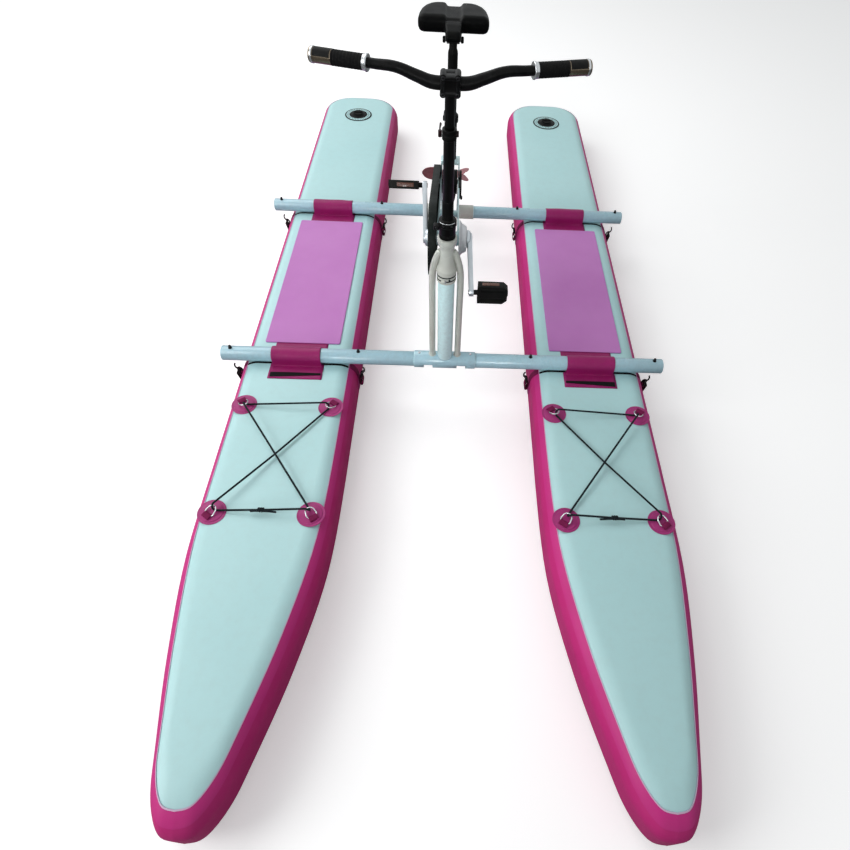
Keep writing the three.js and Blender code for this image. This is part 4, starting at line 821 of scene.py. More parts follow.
def band(name, low, high, proud, thick):
    """A strip of fabric glued round the side wall."""
    turns = [low + (high - low) * k / 16 for k in range(17)]
    rings = []
    for turn in turns:
        if rings and turn > 0 and rings[-1][0].z < DECK / 2:
            rings.append(pontoon_ring(*shoulder_spot(0.001, proud)))
        rings.append(pontoon_ring(*shoulder_spot(turn, proud)))
    strip = ringed(name, rings, False)
    take(strip)
    modified(strip, "SOLIDIFY", thickness=thick * MM)
    bpy.ops.object.shade_smooth_by_angle(angle=math.radians(50))
    return strip


for piece, look, nodes in (
        (pontoon("pontoon_port"), DECK_FABRIC, ["hull_port"]),
        (band("side_band_port", -58, BAND_TOP, 0.9, 0.8), BAND_FABRIC, []),
        (band("upper_lap_port", 33, BAND_TOP + 1.5, 1.6, 0.7), LAP_FABRIC, []),
        (band("deck_seam_port", BAND_TOP + 1.2, BAND_TOP + 3, 1.9, 1.0), SEAM_TAPE, [])):
    both_sides(piece, look, stands_for=nodes)


def deck_pad(name):
    """A foam pad with tight corners, a chamfered rim and a slight crown."""
    half_wide, half_long, corner = 130, 369, 6
    outline = []
    for sx, sy, first in ((1, 1, 0), (-1, 1, 90), (-1, -1, 180), (1, -1, 270)):
        for k in range(9):
            turn = math.radians(first + 90 * k / 8)
            outline.append((sx * (half_wide - corner) + corner * math.cos(turn),
                            sy * (half_long - corner) + corner * math.sin(turn)))
    pad = plate(name, outline, 3.2, Matrix.Translation((PONTOON_X, 102, DECK + PRINT_LIFT)), soft=0)
    take(pad)
    open_mesh()
    choose(pad, lambda middle, normal: normal.z > 0.9)
    bpy.ops.mesh.inset(thickness=1.1 * MM, depth=0.7 * MM)
    bpy.ops.mesh.inset(thickness=3.4 * MM, depth=0.25 * MM)
    close_mesh()
    return settle(pad, 0.35, angle=25)


for pad in both_sides(deck_pad("foam_pad_port"), PAD_FOAM, stands_for=["deck_pad_port"]):
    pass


# Valves: a printed round patch, a boss and a turning cap

VALVE_Y = 1451
TICK_REACH = 54.5


def valve():
    base = (PONTOON_X, VALVE_Y, DECK + 0.3)
    rim_line = [(69.5, 0), (70, 0.5), (69.4, 1.5), (67, 2), (62, 2)]
    rim = turned("valve_rim_port", rim_line, base, steps=64, soft=0)
    dial = turned("valve_dial_port", [(63, 0), (63, 2.1), (46, 2.4)], base, steps=64, soft=0.2)
    boss = turned("valve_boss_port", [(47, 0), (47, 2.7), (36, 3.0), (31, 4.4), (31, 6.4), (28.5, 7.3)], base,
                  steps=56, soft=0.3)
    ticks = []
    for k in range(40):
        turn = 2 * math.pi * k / 40
        ticks.append(block(
            f"valve_tick_{k}", (9 if k % 5 else 13, 3.2 if k % 2 else 2.2, 0.5),
            (base[0] + TICK_REACH * math.cos(turn), base[1] + TICK_REACH * math.sin(turn), base[2] + 2.35),
            (0, 0, turn), soft=0.15))
    marks = as_one("valve_ticks_port", ticks)
    cap = turned("valve_cap_port_disc", [
        (24.6, 0), (26, 1.2), (26, 5.6), (24.6, 6.8), (20, 7.1), (18.6, 5.8), (4, 5.6)],
        (PONTOON_X, VALVE_Y, DECK + 7.7), steps=48, soft=0.3)
    key = block("valve_cap_port_key", (45, 7, 6.2), (PONTOON_X, VALVE_Y, DECK + 16.3), soft=1.4)
    both_sides(as_one("valve_cap_port_top", [cap, key]), MOULDED, "port_valve_cap", ["valve_cap_port"])
    both_sides(rim, MOULDED)
    both_sides(dial, DECK_FABRIC)
    both_sides(boss, MOULDED, stands_for=["valve_port"])
    both_sides(marks, MOULDED)


valve()


# Cross tubes with their end plugs and spring buttons

for end_name, y, start in (("rear", REAR_Y, 34.5), ("front", FRONT_Y, 71.4)):
    name = f"cross_{end_name}_port"
    tube = pipe(f"{name}_pipe", TUBE_RADIUS, 23, start, 748.5, (0, y, TUBE_Z), soft=0.5)
    plug = turned(f"{name}_plug", [
        (22.6, 725), (22.9, 747.5), (24.6, 748), (24.8, 749), (23.6, 750), (10, 750.4)],
        (0, y, TUBE_Z), (1, 0, 0), soft=0.2)
    both_sides(tube, TUBE_PAINT, stands_for=[f"cross_tube_{end_name}_port"])
    both_sides(plug, TUBE_PAINT)
    for where, x in (("inner", 292), ("outer", 719)):
        name = f"{end_name}_{where}_port"
        pin = turned(f"pin_{name}", [(6.8, 19.5), (7, 20.8), (4.5, 21.2), (4.5, 33.6), (3.9, 35.2), (2, 36)],
                     (x, y, TUBE_Z), steps=24, soft=0)
        collar = pipe(f"pin_ring_{name}", 6.4, 4.7, 24.2, 25.4, (x, y, TUBE_Z), (0, 0, 1), 28, 0.2)
        both_sides(pin, DARK_STEEL, f"pin_{name}", [f"button_{name}"])
        both_sides(collar, MOULDED)


# Fabric sleeves over the tubes, their glued flaps, black strips of painted shadow and the side catches

SLEEVE_WIDTH = 165
SLEEVE_REACH = 60
SLEEVE_WRAP = math.radians(262)
SLEEVE_FLOOR = 1.4


def sleeve_line(share):
    """The sleeve's cross-section from the front flap over the tube to the back flap: y and z."""
    radius = TUBE_RADIUS + 2.4
    lift = TUBE_Z - DECK
    foot = math.sqrt(radius ** 2 - 1) * 0.98
    run = SLEEVE_REACH - foot
    arc = radius * SLEEVE_WRAP
    whole = 2 * run + arc
    along = share * whole
    if along < run:
        return -SLEEVE_REACH + along, SLEEVE_FLOOR
    if along > whole - run:
        return SLEEVE_REACH - (whole - along), SLEEVE_FLOOR
    turn = (along - run) / arc * SLEEVE_WRAP - SLEEVE_WRAP / 2
    y = radius * math.sin(turn)
    z = lift + radius * math.cos(turn)
    blend = min(1, (along - run) / 14, (whole - run - along) / 14)
    edge = foot if turn > 0 else -foot
    return y * blend + edge * (1 - blend), max(z, SLEEVE_FLOOR) * blend + SLEEVE_FLOOR * (1 - blend)


def tube_sleeve(name, y):
    def spot(u, v):
        side, high = sleeve_line(v)
        x = -SLEEVE_WIDTH / 2 + SLEEVE_WIDTH * u
        crease = noise.noise(Vector((x * 0.03, side * 0.05 + y, high * 0.05))) * 1.1
        rise = high + (crease + 0.5 if high > 6 else 0)
        return PONTOON_X + x, y + side, DECK + rise
    return cloth(name, 22, 64, spot, 1.6)


def flap(name, y, front, back, wide):
    """The flap that is glued to the deck, with squared corners and a lifted edge."""
    def spot(u, v):
        along = front + (back - front) * v
        x = -wide / 2 + wide * u
        edge = max(0, 1 - min(v, 1 - v) * 24)
        lift = 0.5 * edge * (0.5 + noise.noise(Vector((x * 0.05, along, 0))))
        return PONTOON_X + x, y + along, DECK + GLUE_LIFT + lift
    return cloth(name, 20, 14, spot, 1.1, soft=0)


def tube_shadow_strip(name, y, near, far):
    """A narrow black strip on the deck before the tube, from the sleeve to the shoulder and over it: painted
    shadow of the tube on the deck.
    """
    way = 1 if far > near else -1
    edge = PONTOON_X + way * (PONTOON_HALF - SHOULDER)
    bends = [(near + (edge - near) * k / 8, DECK + GLUE_LIFT) for k in range(9)]
    for k in range(1, 5):
        inset, height = shoulder_spot(90 - 9 * k, GLUE_LIFT)
        bends.append((PONTOON_X + way * (PONTOON_HALF - inset), height))

    def spot(u, v):
        place = v * (len(bends) - 1)
        k = min(int(place), len(bends) - 2)
        x = bends[k][0] + (bends[k + 1][0] - bends[k][0]) * (place - k)
        z = bends[k][1] + (bends[k + 1][1] - bends[k][1]) * (place - k)
        return x, y - 3.5 + 7 * u, z
    return cloth(name, 3, 34, spot, 1.4, soft=0)


def slit_shadow_strip(name, y):
    """A black strip in the slit between the glued flap and the sleeve's loose edge: painted shadow under that
    edge.
    """
    def spot(u, v):
        x = -84 + 168 * v
        wide = 9 + 12 * v
        return PONTOON_X + x, y - 58 - wide * u, DECK + 2.3 + 0.8 * math.sin(math.pi * v)
    return cloth(name, 3, 18, spot, 1.2, soft=0)


def catch_strap(name, y, way):
    """The webbing that is glued down the side wall and holds the buckle."""
    def spot(u, v):
        inset, height = shoulder_spot(2 + 50 * v, 2.5)
        return PONTOON_X + way * (PONTOON_HALF - inset), y - 16.5 + 25 * u, height
    return cloth(name, 4, 14, spot, 1.2, soft=0)


def side_catch(name, y, way):
    """A patch on the side wall, a webbing loop, a ladder buckle and the wire hook on top of it."""
    wall = PONTOON_X + way * (PONTOON_HALF + 1.6)
    middle = y - 4
    disc = turned(f"{name}_patch", [(30, 0), (29.6, 1), (24, 1.3), (23.4, 2.2), (6, 2.5)],
                  (wall, middle, 88), (way, 0, 0), steps=44, soft=0)
    loop = cloth(f"{name}_loop", 5, 18, lambda u, v: (
        wall + way * (10.4 + 7 * math.sin(2 * math.pi * v)), middle - 13 + 26 * u,
        99 + 18 * math.cos(2 * math.pi * v)), 1.6)
    buckle = [(-16, -17), (-16, 17), (16, 17), (16, -17)]
    buckle_place = (wall + way * 15, middle, 114)
    turn = Matrix.Translation(buckle_place) @ Matrix.Rotation(math.radians(90 + way * 12), 4, "Y")
    frame_plate = plate(f"{name}_buckle", buckle, 4, turn, soft=1.4)
    for gap in (-7.5, 7.5):
        hole = block("buckle_hole", (30, 24, 6), (buckle_place[0], middle, buckle_place[2] + gap), soft=0)
        cut_out(frame_plate, hole)
    hook = bent(f"{name}_hook", [
        (wall + way * out, middle + along, high) for out, along, high in (
            (8, 8, 118), (11, 8, 129), (16, 5, 136), (21, 0, 139), (24, -2, 146), (24, -3, 157),
            (21, -4, 165))], 2.8, fine=5)
    prong = bent(f"{name}_prong", [
        (wall + way * out, middle + along, high) for out, along, high in (
            (8, -9, 118), (11, -9, 129), (16, -6, 136), (21, -1, 139))], 2.5, fine=5)
    return [(disc, PATCH_FABRIC), (loop, WEBBING), (catch_strap(f"{name}_strap", y, way), WEBBING),
            (frame_plate, MOULDED), (as_one(f"{name}_hook_wire", [hook, prong]), DARK_STEEL)]


for end_name, y, front, back in (("rear", REAR_Y, -74, 64), ("front", FRONT_Y, -86, 86)):
    wrap = tube_sleeve(f"sleeve_{end_name}_port_wrap", y)
    glued = flap(f"flap_{end_name}_port", y, front, back, 180)
    parts = []
    if end_name == "front":
        # Black strip of painted shadow in the slit before the front sleeve
        parts.append((slit_shadow_strip("slit_strap_port", y), SHADOW_STRIP_BLACK))
    for where, near, far in (("outer", 583, 700), ("inner", 417, 300)):
        # Black strip of painted shadow where the tube meets the deck
        parts.append((tube_shadow_strip(f"strap_{end_name}_{where}_port", y - 14, near, far), SHADOW_STRIP_BLACK))
        parts += side_catch(f"catch_{end_name}_{where}_port", y, 1 if where == "outer" else -1)
    wraps = both_sides(wrap, SLEEVE_FABRIC, stands_for=[f"sleeve_{end_name}_port"])
    flaps = both_sides(glued, SLEEVE_FABRIC)
    for piece, look in parts:
        both_sides(piece, look)


# Front frame: socket with two windows, column, side tubes, head tube and welds

SIDE_TUBE_X = 42
SOCKET_CREST = 28.4
SOCKET_LIP = 27.4
SOCKET_END = 102.4
BEAD_STEPS = 48
BEAD_WIDTHS = [1.0 if k % 2 else 0.82 for k in range(BEAD_STEPS)]


def weld(name, radius, at_point, along, thick=2.2):
    """A bead of weld round a joint, with small ripples."""
    axis = Vector(along).normalized()
    side = axis.orthogonal().normalized()
    other = axis.cross(side)
    points = []
    for k in range(BEAD_STEPS):
        turn = 2 * math.pi * k / BEAD_STEPS
        points.append(Vector(at_point) + radius * (side * math.cos(turn) + other * math.sin(turn)))
    return bent(name, points, thick, loop=True, fine=1, widths=BEAD_WIDTHS)


def saddle_weld(name, small, x, thick=2.0):
    """A bead of weld where an upright tube meets the front socket."""
    points = []
    for k in range(BEAD_STEPS):
        turn = 2 * math.pi * k / BEAD_STEPS
        side = small * math.sin(turn)
        rise = math.sqrt(SOCKET_CREST ** 2 - side ** 2)
        points.append((x + small * math.cos(turn), FRONT_Y + side, TUBE_Z + rise))
    return bent(name, points, thick, loop=True, fine=1, widths=BEAD_WIDTHS)


def bolt(name, spot, along, radius=4.2, high=3.4):
    """A round screw head with a six-sided socket."""
    head = turned(name, [(radius, 0), (radius, high * 0.7), (radius * 0.82, high), (radius * 0.55, high)],
                  spot, along, steps=24, soft=0.2)
    take(head)
    axis = Vector(along).normalized()
    open_mesh()
    top = (Vector(spot) + axis * high).dot(axis)
    choose(head, lambda middle, normal: normal.dot(axis) > 0.95 and middle.dot(axis) > top - 0.1
           and (middle - Vector(spot)).cross(axis).length < radius * 0.3)
    bpy.ops.mesh.extrude_region_move(TRANSFORM_OT_translate={"value": -axis * high * 0.6 * MM})
    close_mesh()
    return head


socket = pipe("front_socket", 28.85, 25.4, -103, 103, (0, FRONT_Y, TUBE_Z), steps=56, soft=0.8)
for side in (PORT, STARBOARD):
    cut_out(socket, block("window", (30, 70, 34), (side * 56, FRONT_Y, TUBE_Z - 17), soft=0))
fit(socket, TUBE_PAINT, stands_for=["front_frame"])
column = pipe("steering_column", 25, 21.5, TUBE_Z + 22, COLUMN_TOP, (0, FRONT_Y, 0), (0, 0, 1), 48, 0.6)
fit(column, WHITE_PAINT)
for side_name, side in SIDES:
    leg_line = (
        (SIDE_TUBE_X, TUBE_Z + 12), (SIDE_TUBE_X, 320), (SIDE_TUBE_X, 440), (SIDE_TUBE_X, 540), (40, 582),
        (33, 616), (24, 640), (17, 650))
    leg = bent(f"side_tube_{side_name}", [(side * out, FRONT_Y, high) for out, high in leg_line], 10.2)
    fit(leg, CREAM_PAINT)
    fit(saddle_weld(f"side_weld_{side_name}", 11, side * SIDE_TUBE_X), CREAM_PAINT)
    fit(bolt(f"socket_bolt_{side_name}", (side * 86, FRONT_Y, TUBE_Z + SOCKET_CREST), (0, 0, 1)), STEEL)
    lip = weld(f"socket_lip_{side_name}", SOCKET_LIP, (side * SOCKET_END, FRONT_Y, TUBE_Z), (1, 0, 0), 1.5)
    fit(lip, WHITE_PAINT)
fit(saddle_weld("column_weld", 24.6, 0, 1.6), TUBE_PAINT)
head = turned("head_tube", [
    (22, 584.6), (29, 584.8), (30.6, 586), (31, 589), (30.8, 592.6), (29, 596), (25.8, 606), (22.8, 620),
    (21.2, 634), (21, 648), (21.4, 664), (24.5, 674), (26.6, 679), (26.4, 681), (28, 683.4), (28, 697.6),
    (18, 697.9)],
    (0, FRONT_Y, 0), steps=56, soft=0.5)
fit(head, CREAM_PAINT)
for side_name, side in SIDES:
    fit(weld(f"head_weld_{side_name}", 9.3, (side * 24, FRONT_Y, 641), (side, 0, -0.7), 1.8), CREAM_PAINT)

# Steering collar with its ear, clamp, stem and its quick lever

collar = turned("steering_collar_ring", [
    (15, 549.4), (27.6, 549.5), (28.6, 550.6), (28.6, 559), (26.8, 560.2), (26.8, 563), (28.6, 564.2),
    (28.6, 571.6), (26.8, 572.8), (26.8, 575.4), (28.6, 576.6), (28.6, 583), (27.6, 584.2), (15, 584.3)],
    (0, FRONT_Y, 0), steps=56, soft=0.3)
EAR_Z = 563
EAR_HALF = 5.5
ear_turn = math.radians(-107)
ear_out = Vector((math.cos(ear_turn), math.sin(ear_turn), 0))
ear_side = Vector((-ear_out.y, ear_out.x, 0))
ear_place = Matrix((
    (ear_out.x, 0, ear_side.x, -EAR_HALF * ear_side.x),
    (ear_out.y, 0, ear_side.y, FRONT_Y - EAR_HALF * ear_side.y),
    (0, 1, 0, EAR_Z),
    (0, 0, 0, 1)))
ear_round = [math.radians(20 * k) for k in range(10)]
ear_outline = [(20, -7)] + [(30 + 7 * math.sin(t), -7 * math.cos(t)) for t in ear_round] + [(20, 7)]
ear = plate("steering_ear", ear_outline, 2 * EAR_HALF, ear_place, soft=1.6)
ear_eye = Vector((0, FRONT_Y, EAR_Z)) + ear_out * 29 + ear_side * 5.2
ear_bolt = bolt("steering_ear_bolt", ear_eye, ear_side, 4.6, 3)
collar_dress = as_one("steering_collar_dress", [collar, ear])
fit(collar_dress, CREAM_PAINT, "steering", ["steering_collar"])
another_look(collar_dress, DARK_STEEL, lambda middle, normal:
             middle.z > 552 and 24 < math.hypot(middle.x, middle.y - FRONT_Y) < 27.8 and abs(normal.z) < 0.9)
fit(ear_bolt, STEEL, "steering")
pinch = bolt("collar_screw", (9, FRONT_Y - 26.6, 567.8), (0.32, -0.95, 0), 3.2, 2.6)
fit(pinch, DARK_STEEL, "steering")

clamp = turned("stem_clamp_body", [
    (15, 698.3), (22.4, 698.4), (23.2, 699.6), (23.2, 708), (22.4, 709), (22.4, 711), (23.2, 712),
    (23.2, 734.6), (25.2, 737), (25.2, 750.4), (24, 752.4), (18, 753), (16, 755), (15.4, 758),
    (15.4, 808.8), (15, 810.2), (14.6, 810.3)], (0, FRONT_Y, 0), steps=56, soft=0.5)
lug = block("stem_clamp_lug", (16, 16, 15), (-30, FRONT_Y - 5, 733), soft=2.4)
lug_screw = bolt("stem_clamp_screw", (-30, FRONT_Y - 12.6, 733), (0, -1, 0), 4, 3.2)
RING_RADIUS = 24.4
ring_turns = [math.radians(-148 + 8 * k) for k in range(15)]
clamp_ring = bent("stem_clamp_ring", [
    (RING_RADIUS * math.cos(t), FRONT_Y + RING_RADIUS * math.sin(t), 751.8) for t in ring_turns], 0.9)
fit(clamp_ring, STEEL, "steering")
fit(as_one("stem_clamp_dress", [clamp, lug]), BLACK_PAINT, "steering", ["stem_clamp"])
fit(lug_screw, DARK_STEEL, "steering")
SCREW_SEAT = 0.93
for k, out in enumerate((12, -12)):
    spot = (out * SCREW_SEAT, FRONT_Y - 25 * SCREW_SEAT, 746)
    screw = bolt(f"flange_screw_{k}", spot, (out, -25, 0), 3, 2.4)
    fit(screw, DARK_STEEL, "steering")

stem = turned("stem_tube_dress", [
    (13, 470.2), (14.3, 470.6), (14.3, STEM_TOP - 26.4), (17.2, STEM_TOP - 26), (18, STEM_TOP - 25),
    (18, STEM_TOP - 15), (17.2, STEM_TOP - 14), (17.2, STEM_TOP - 12), (18, STEM_TOP - 11),
    (18, STEM_TOP - 1), (17, STEM_TOP), (13.2, STEM_TOP)], (0, FRONT_Y, 0), steps=48, soft=0.3)
stem_bolt = turned("stem_lever_nut", [(5.5, 16), (7.4, 16.4), (7.4, 22), (6.4, 22.8), (3, 22.8)],
                   (0, FRONT_Y, STEM_LEVER_Z), (1, 0, 0), steps=24, soft=0.3)
fit(stem, BLACK_PAINT, "steering", ["stem_tube"])
fit(stem_bolt, MAROON, "steering")


def quick_lever(name, x, y, z):
    """A cam barrel with a curved handle that lies along the tube's side."""
    barrel_line = [(4.2, -8), (4.6, -7.6), (4.6, 7.6), (4.2, 8)]
    barrel = turned(f"{name}_cam", barrel_line, (x, y, z), steps=28, soft=0.2)
    handle = bent(f"{name}_handle", [
        (x, y + 1, z), (x - 0.6, y + 12, z), (x - 1.4, y + 24, z + 0.6), (x - 0.6, y + 36, z + 1),
        (x + 0.4, y + 45, z + 1)], 4.4, widths=[1.1, 0.8, 0.72, 0.85, 1.05], fine=6)
    take(handle)
    open_mesh()
    bpy.ops.transform.resize(value=(0.62, 1, 1), center_override=Vector((x, y, z)) * MM)
    close_mesh()
    return as_one(f"{name}_dress", [barrel, handle])


stem_lever = quick_lever("stem_lever", -22.85, FRONT_Y, STEM_LEVER_Z)
fit(stem_lever, MAROON, "stem_quick_lever", ["stem_lever"])

# Bar post, its clamp with four bolts, handlebar and grips

post_foot, post_top = (corner.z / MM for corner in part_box("bar_post"))
BAR_Z = post_top - 25
post = turned("bar_post_tube", [
    (11.5, post_foot), (12.5, post_foot + 1), (12.5, BAR_Z - 25), (14, BAR_Z - 22), (16, BAR_Z - 14)],
    (0, FRONT_Y, 0), soft=0.2)
rear_half = block("bar_clamp_rear", (44, 24, 42), (0, FRONT_Y + 12.4, BAR_Z), soft=5)
front_half = block("bar_clamp_front", (44, 22, 42), (0, FRONT_Y - 12.6, BAR_Z), soft=5,
                   dish=((0, -1, 0), 7, 2.5))
clamp_pieces = [post, rear_half, front_half]
for sx in (-1, 1):
    for sz in (-1, 1):
        x, z = sx * 16.5, BAR_Z + sz * 18
        clamp_pieces.append(turned(f"bar_ear_{sx}_{sz}", [(6.4, -22.5), (7.4, -21.5), (7.4, 13), (6, 15)],
                                   (x, FRONT_Y, z), (0, 1, 0), steps=24, soft=0.4))
        head = bolt(f"bar_bolt_{sx}_{sz}", (x, FRONT_Y - 22.4, z), (0, -1, 0), 4.4, 2.4)
        fit(head, DARK_STEEL, "bars")
fit(as_one("bar_clamp_dress", clamp_pieces), BLACK_PAINT, "bars", ["bar_post"])

BAR_HALF = 314
BAR_SWEEP = 51
BAR_RISE = 26
BAR_SHARES = [
    (0.13, 0, 0), (0.24, 0.05, 0.4), (0.39, 0.16, 0.95), (0.54, 0.32, 1), (0.76, 0.64, 1), (1, 1, 1)]


def bar_points():
    wing = [(BAR_HALF * out, FRONT_Y + BAR_SWEEP * back, BAR_Z + BAR_RISE * up)
            for out, back, up in BAR_SHARES]
    return [(-x, y, z) for x, y, z in reversed(wing)] + [(0, FRONT_Y, BAR_Z)] + wing


handlebar = bent("handlebar_tube", bar_points(), 11.15, fine=10,
                 widths=[1, 1, 1, 1.08, 1.22, 1.36, 1.4, 1.36, 1.22, 1.08, 1, 1, 1])
fit(handlebar, BLACK_PAINT, "bars", ["handlebar"])


def hand_grip(side_name, side):
    """A ribbed rubber sleeve between two metal rings, with a metal end section and its inset."""
    points = bar_points()
    end = Vector(points[-1 if side > 0 else 0])
    near = Vector(points[-2 if side > 0 else 1])
    run = (end - near).normalized()
    flange = turned(f"grip_flange_{side_name}", [
        (13, -133), (18, -132.6), (18.9, -131.4), (18.9, -129), (17.6, -127.8), (17.2, -125),
        (17.2, -122.4), (16, -121.6)], end, run, steps=44, soft=0.3)
    ribs = [(15.6, -122)]
    for k in range(9):
        foot = -121 + k * 7.6
        ribs += [(16.9, foot + 0.8), (16.9, foot + 5.4), (16.2, foot + 6), (16.2, foot + 7.2)]
    ribs += [(17.1, -51.8), (17.1, -49), (15, -48.4)]
    rubber = turned(f"grip_rubber_{side_name}", ribs, end, run, steps=44, soft=0)
    metal = turned(f"grip_end_{side_name}", [
        (15, -49), (16.6, -48.6), (16.6, -5), (17, -4.4), (17, 3), (16, 4.6), (12.5, 5), (11.8, 3.6),
        (4, 3.4)], end, run, steps=44, soft=0.3)
    inset = pipe(f"grip_inset_{side_name}", 17.2, 15.4, -46.6, -5.6, end, run, 44, 0)
    turn = run.to_track_quat("X", "Z").to_euler()
    cut_out(inset, block("grip_inset_cut", (80, 60, 40), end - run * 26 - Vector((0, 0, 16)), turn, soft=0))
    settle(inset, 0.3, angle=50)
    ring = turned(f"grip_end_ring_{side_name}", [(15, -4.6), (17.8, -4.2), (17.8, 0.4), (15, 0.8)], end, run,
                  steps=44, soft=0.4)
    fit(rubber, RUBBER, "bars", [f"grip_{side_name}"])
    fit(flange, STEEL, "bars")
    fit(metal, BRASS, "bars")
    fit(inset, MOULDED, "bars")
    fit(ring, STEEL, "bars")


hand_grip("port", PORT)
hand_grip("starboard", STARBOARD)

# Rear frame with its welds

rear = dressed("rear_frame", 1.2)
fit(rear, WHITE_PAINT)
another_look(rear, BLACK_PAINT, lambda middle, normal:
             middle.z > 584 and math.hypot(middle.x, middle.y - SEAT_Y) < 21)
beam_welds = [weld("seat_tube_weld", 20.4, (0, SEAT_Y, 581.4), (0, 0, 1))]
for side in (PORT, STARBOARD):
    beam_welds += [
        weld("shell_weld", 21.2, (side * 28.6, CRANK_Y, CRANK_Z), (1, 0, 0)),
        weld("socket_weld", 29, (side * 34.6, REAR_Y, TUBE_Z), (1, 0, 0)),
        weld("socket_end", SOCKET_LIP, (side * SOCKET_END, REAR_Y, TUBE_Z), (1, 0, 0), 1.5)]
fit(as_one("rear_frame_welds", beam_welds), WHITE_PAINT)
another_look(rear, CREAM_PAINT, lambda middle, normal: middle.z < 240 and abs(middle.x) > 34)

# Crank, pedals, chain drive with its case, and the hinge of the leg

ARM_LEAN = 11
spindle = turned("spindle_dress", [(6.5, -73.6), (8.2, -73), (8.2, 73), (6.5, 73.6)], (0, CRANK_Y, CRANK_Z),
                 (1, 0, 0), soft=0.2)
fit(spindle, STEEL, "crankset", ["crank_spindle"])
fit(dressed("chainring", 0.4), STEEL, "crankset")
fit(dressed("chain", 0.5), CHAIN_STEEL)
CRANK_TURN = math.radians(32)
for side_name, side in SIDES:
    arm = dressed(f"crank_arm_{side_name}", 3.2)
    for point in arm.data.vertices:
        reach = math.hypot(point.co.y / MM - CRANK_Y, point.co.z / MM - CRANK_Z)
        point.co.x -= side * ARM_LEAN * MM * max(0, 1 - reach / CRANK_LENGTH) ** 2
    fit(arm, SILVER, "crankset")
    eye = Vector((side * ARM_OUTER, CRANK_Y - side * CRANK_LENGTH * math.cos(CRANK_TURN),
                  CRANK_Z - side * CRANK_LENGTH * math.sin(CRANK_TURN)))
    fit(turned(f"crank_cap_{side_name}", [(12.4, 0), (12.4, 2.2), (11, 3.2), (6, 3.4), (5, 2), (2, 2)],
               (side * (ARM_OUTER - ARM_LEAN - 0.2), CRANK_Y, CRANK_Z), (side, 0, 0), steps=36, soft=0.3),
        MOULDED, "crankset")
    fit(turned(f"crank_boss_{side_name}", [(27, 59.2), (27.6, 59.8), (25, 68), (19, 71), (14, 71.6)],
               (0, CRANK_Y, CRANK_Z), (side, 0, 0), steps=48, soft=0.5), SILVER, "crankset")
    fit(turned(f"axle_end_{side_name}", [(8, 0), (8, 1.6), (6.6, 2.4), (3, 2.4), (2.4, 1)],
               (side * (ARM_INNER + 0.4), eye.y, eye.z), (-side, 0, 0), steps=28, soft=0.2),
        MAROON, "crankset", slot="moulded_black")
    body = "left_pedal" if side > 0 else "right_pedal"
    fit(dressed(f"pedal_{side_name}", 1.6), MOULDED, body)
    tilt = math.radians(94 if side > 0 else -30)
    axle = Vector((side * (ARM_OUTER + 12 + 46), eye.y, eye.z))
    for end_name, end in (("front", -1), ("rear", 1)):
        middle = axle + Matrix.Rotation(tilt, 3, "X") @ Vector((-side * 7, end * 34.2, 0))
        reflector = block(f"reflector_{end_name}_{side_name}", (52, 3.4, 12), middle, (tilt, 0, 0), soft=0.8)
        fit(reflector, AMBER, body)
    end_cap = turned(f"pedal_cap_{side_name}", [(9, 45), (9, 47), (7.4, 47.8), (3, 47.8)], axle, (side, 0, 0),
                     steps=28, soft=0.3)
    fit(end_cap, MOULDED, body)

fit(dressed("chain_case", 3.0), CASE_GREY)
case_screws = (
    (CRANK_Y, CRANK_Z + 98), (CRANK_Y, CRANK_Z - 98), (PIVOT_Y + 44, PIVOT_Z), (30, 616), (30, 484))
for k, (y, z) in enumerate(case_screws):
    fit(bolt(f"case_screw_{k}", (-57.6, y, z), (-1, 0, 0), 4, 1.6), STEEL)
cover = turned("bearing_cover_dress", [
    (53, 34.4), (56, 34.6), (55.4, 37), (50, 41), (46.5, 42.4), (42, 50), (38, 56.6), (36, 58), (20, 58),
    (14.2, 56)], (0, CRANK_Y, CRANK_Z), (1, 0, 0), steps=56, soft=0.5)
fit(cover, CAST_ALLOY, stands_for=["bearing_cover"])
pivot_cap = turned("pivot_cap", [(38, 34.5), (40, 35.4), (40, 40), (37, 42), (18, 42.4), (16, 40), (6, 40)],
                   (0, PIVOT_Y, PIVOT_Z), (1, 0, 0), steps=48, soft=0.4)
fit(pivot_cap, BLACK_PAINT)
latch = turned("plate_knob", [(4, 34.5), (4, 38), (7, 38.8), (7.4, 42), (5, 45)], (0, 100, 545), (1, 0, 0),
               steps=28, soft=0.3)
fit(latch, MOULDED)
cheek = block("hinge_cheek", (12, 92, 40), (36.2, 190, 530), (math.radians(-8), 0, 0), soft=5)
fit(cheek, MOULDED)
fit(dressed("input_shaft", 0.4), STEEL, "drive_shaft")

# Drive leg and propeller

LEG_DOWN = Vector((0, math.sin(LEG_LEAN), -math.cos(LEG_LEAN)))
LEG_BACK = Vector((0, math.cos(LEG_LEAN), math.sin(LEG_LEAN)))
PIVOT = Vector((0, PIVOT_Y, PIVOT_Z))
drum = turned("leg_drum", [
    (40, -27), (42, -25), (42, -16), (38, -14), (38, 14), (42, 16), (42, 25), (40, 27)],
    PIVOT, (1, 0, 0), steps=56, soft=0.5)
neck = turned("leg_neck", [(24, 30), (25.4, 36), (25, 60), (25, 86), (24, 90), (21, 92)], PIVOT, LEG_DOWN,
              soft=0.5)
fit(as_one("leg_head_dress", [drum, neck]), BLACK_PAINT, "leg_hinge", ["leg_head"])
leg_tube = turned("drive_leg_tube", [
    (18, 52.4), (20, 54), (20, 606), (21.6, 612), (22.5, LEG_LENGTH), (16, LEG_LENGTH + 12)],
    PIVOT, LEG_DOWN, soft=0.3)
nacelle_at = PIVOT + LEG_DOWN * LEG_LENGTH
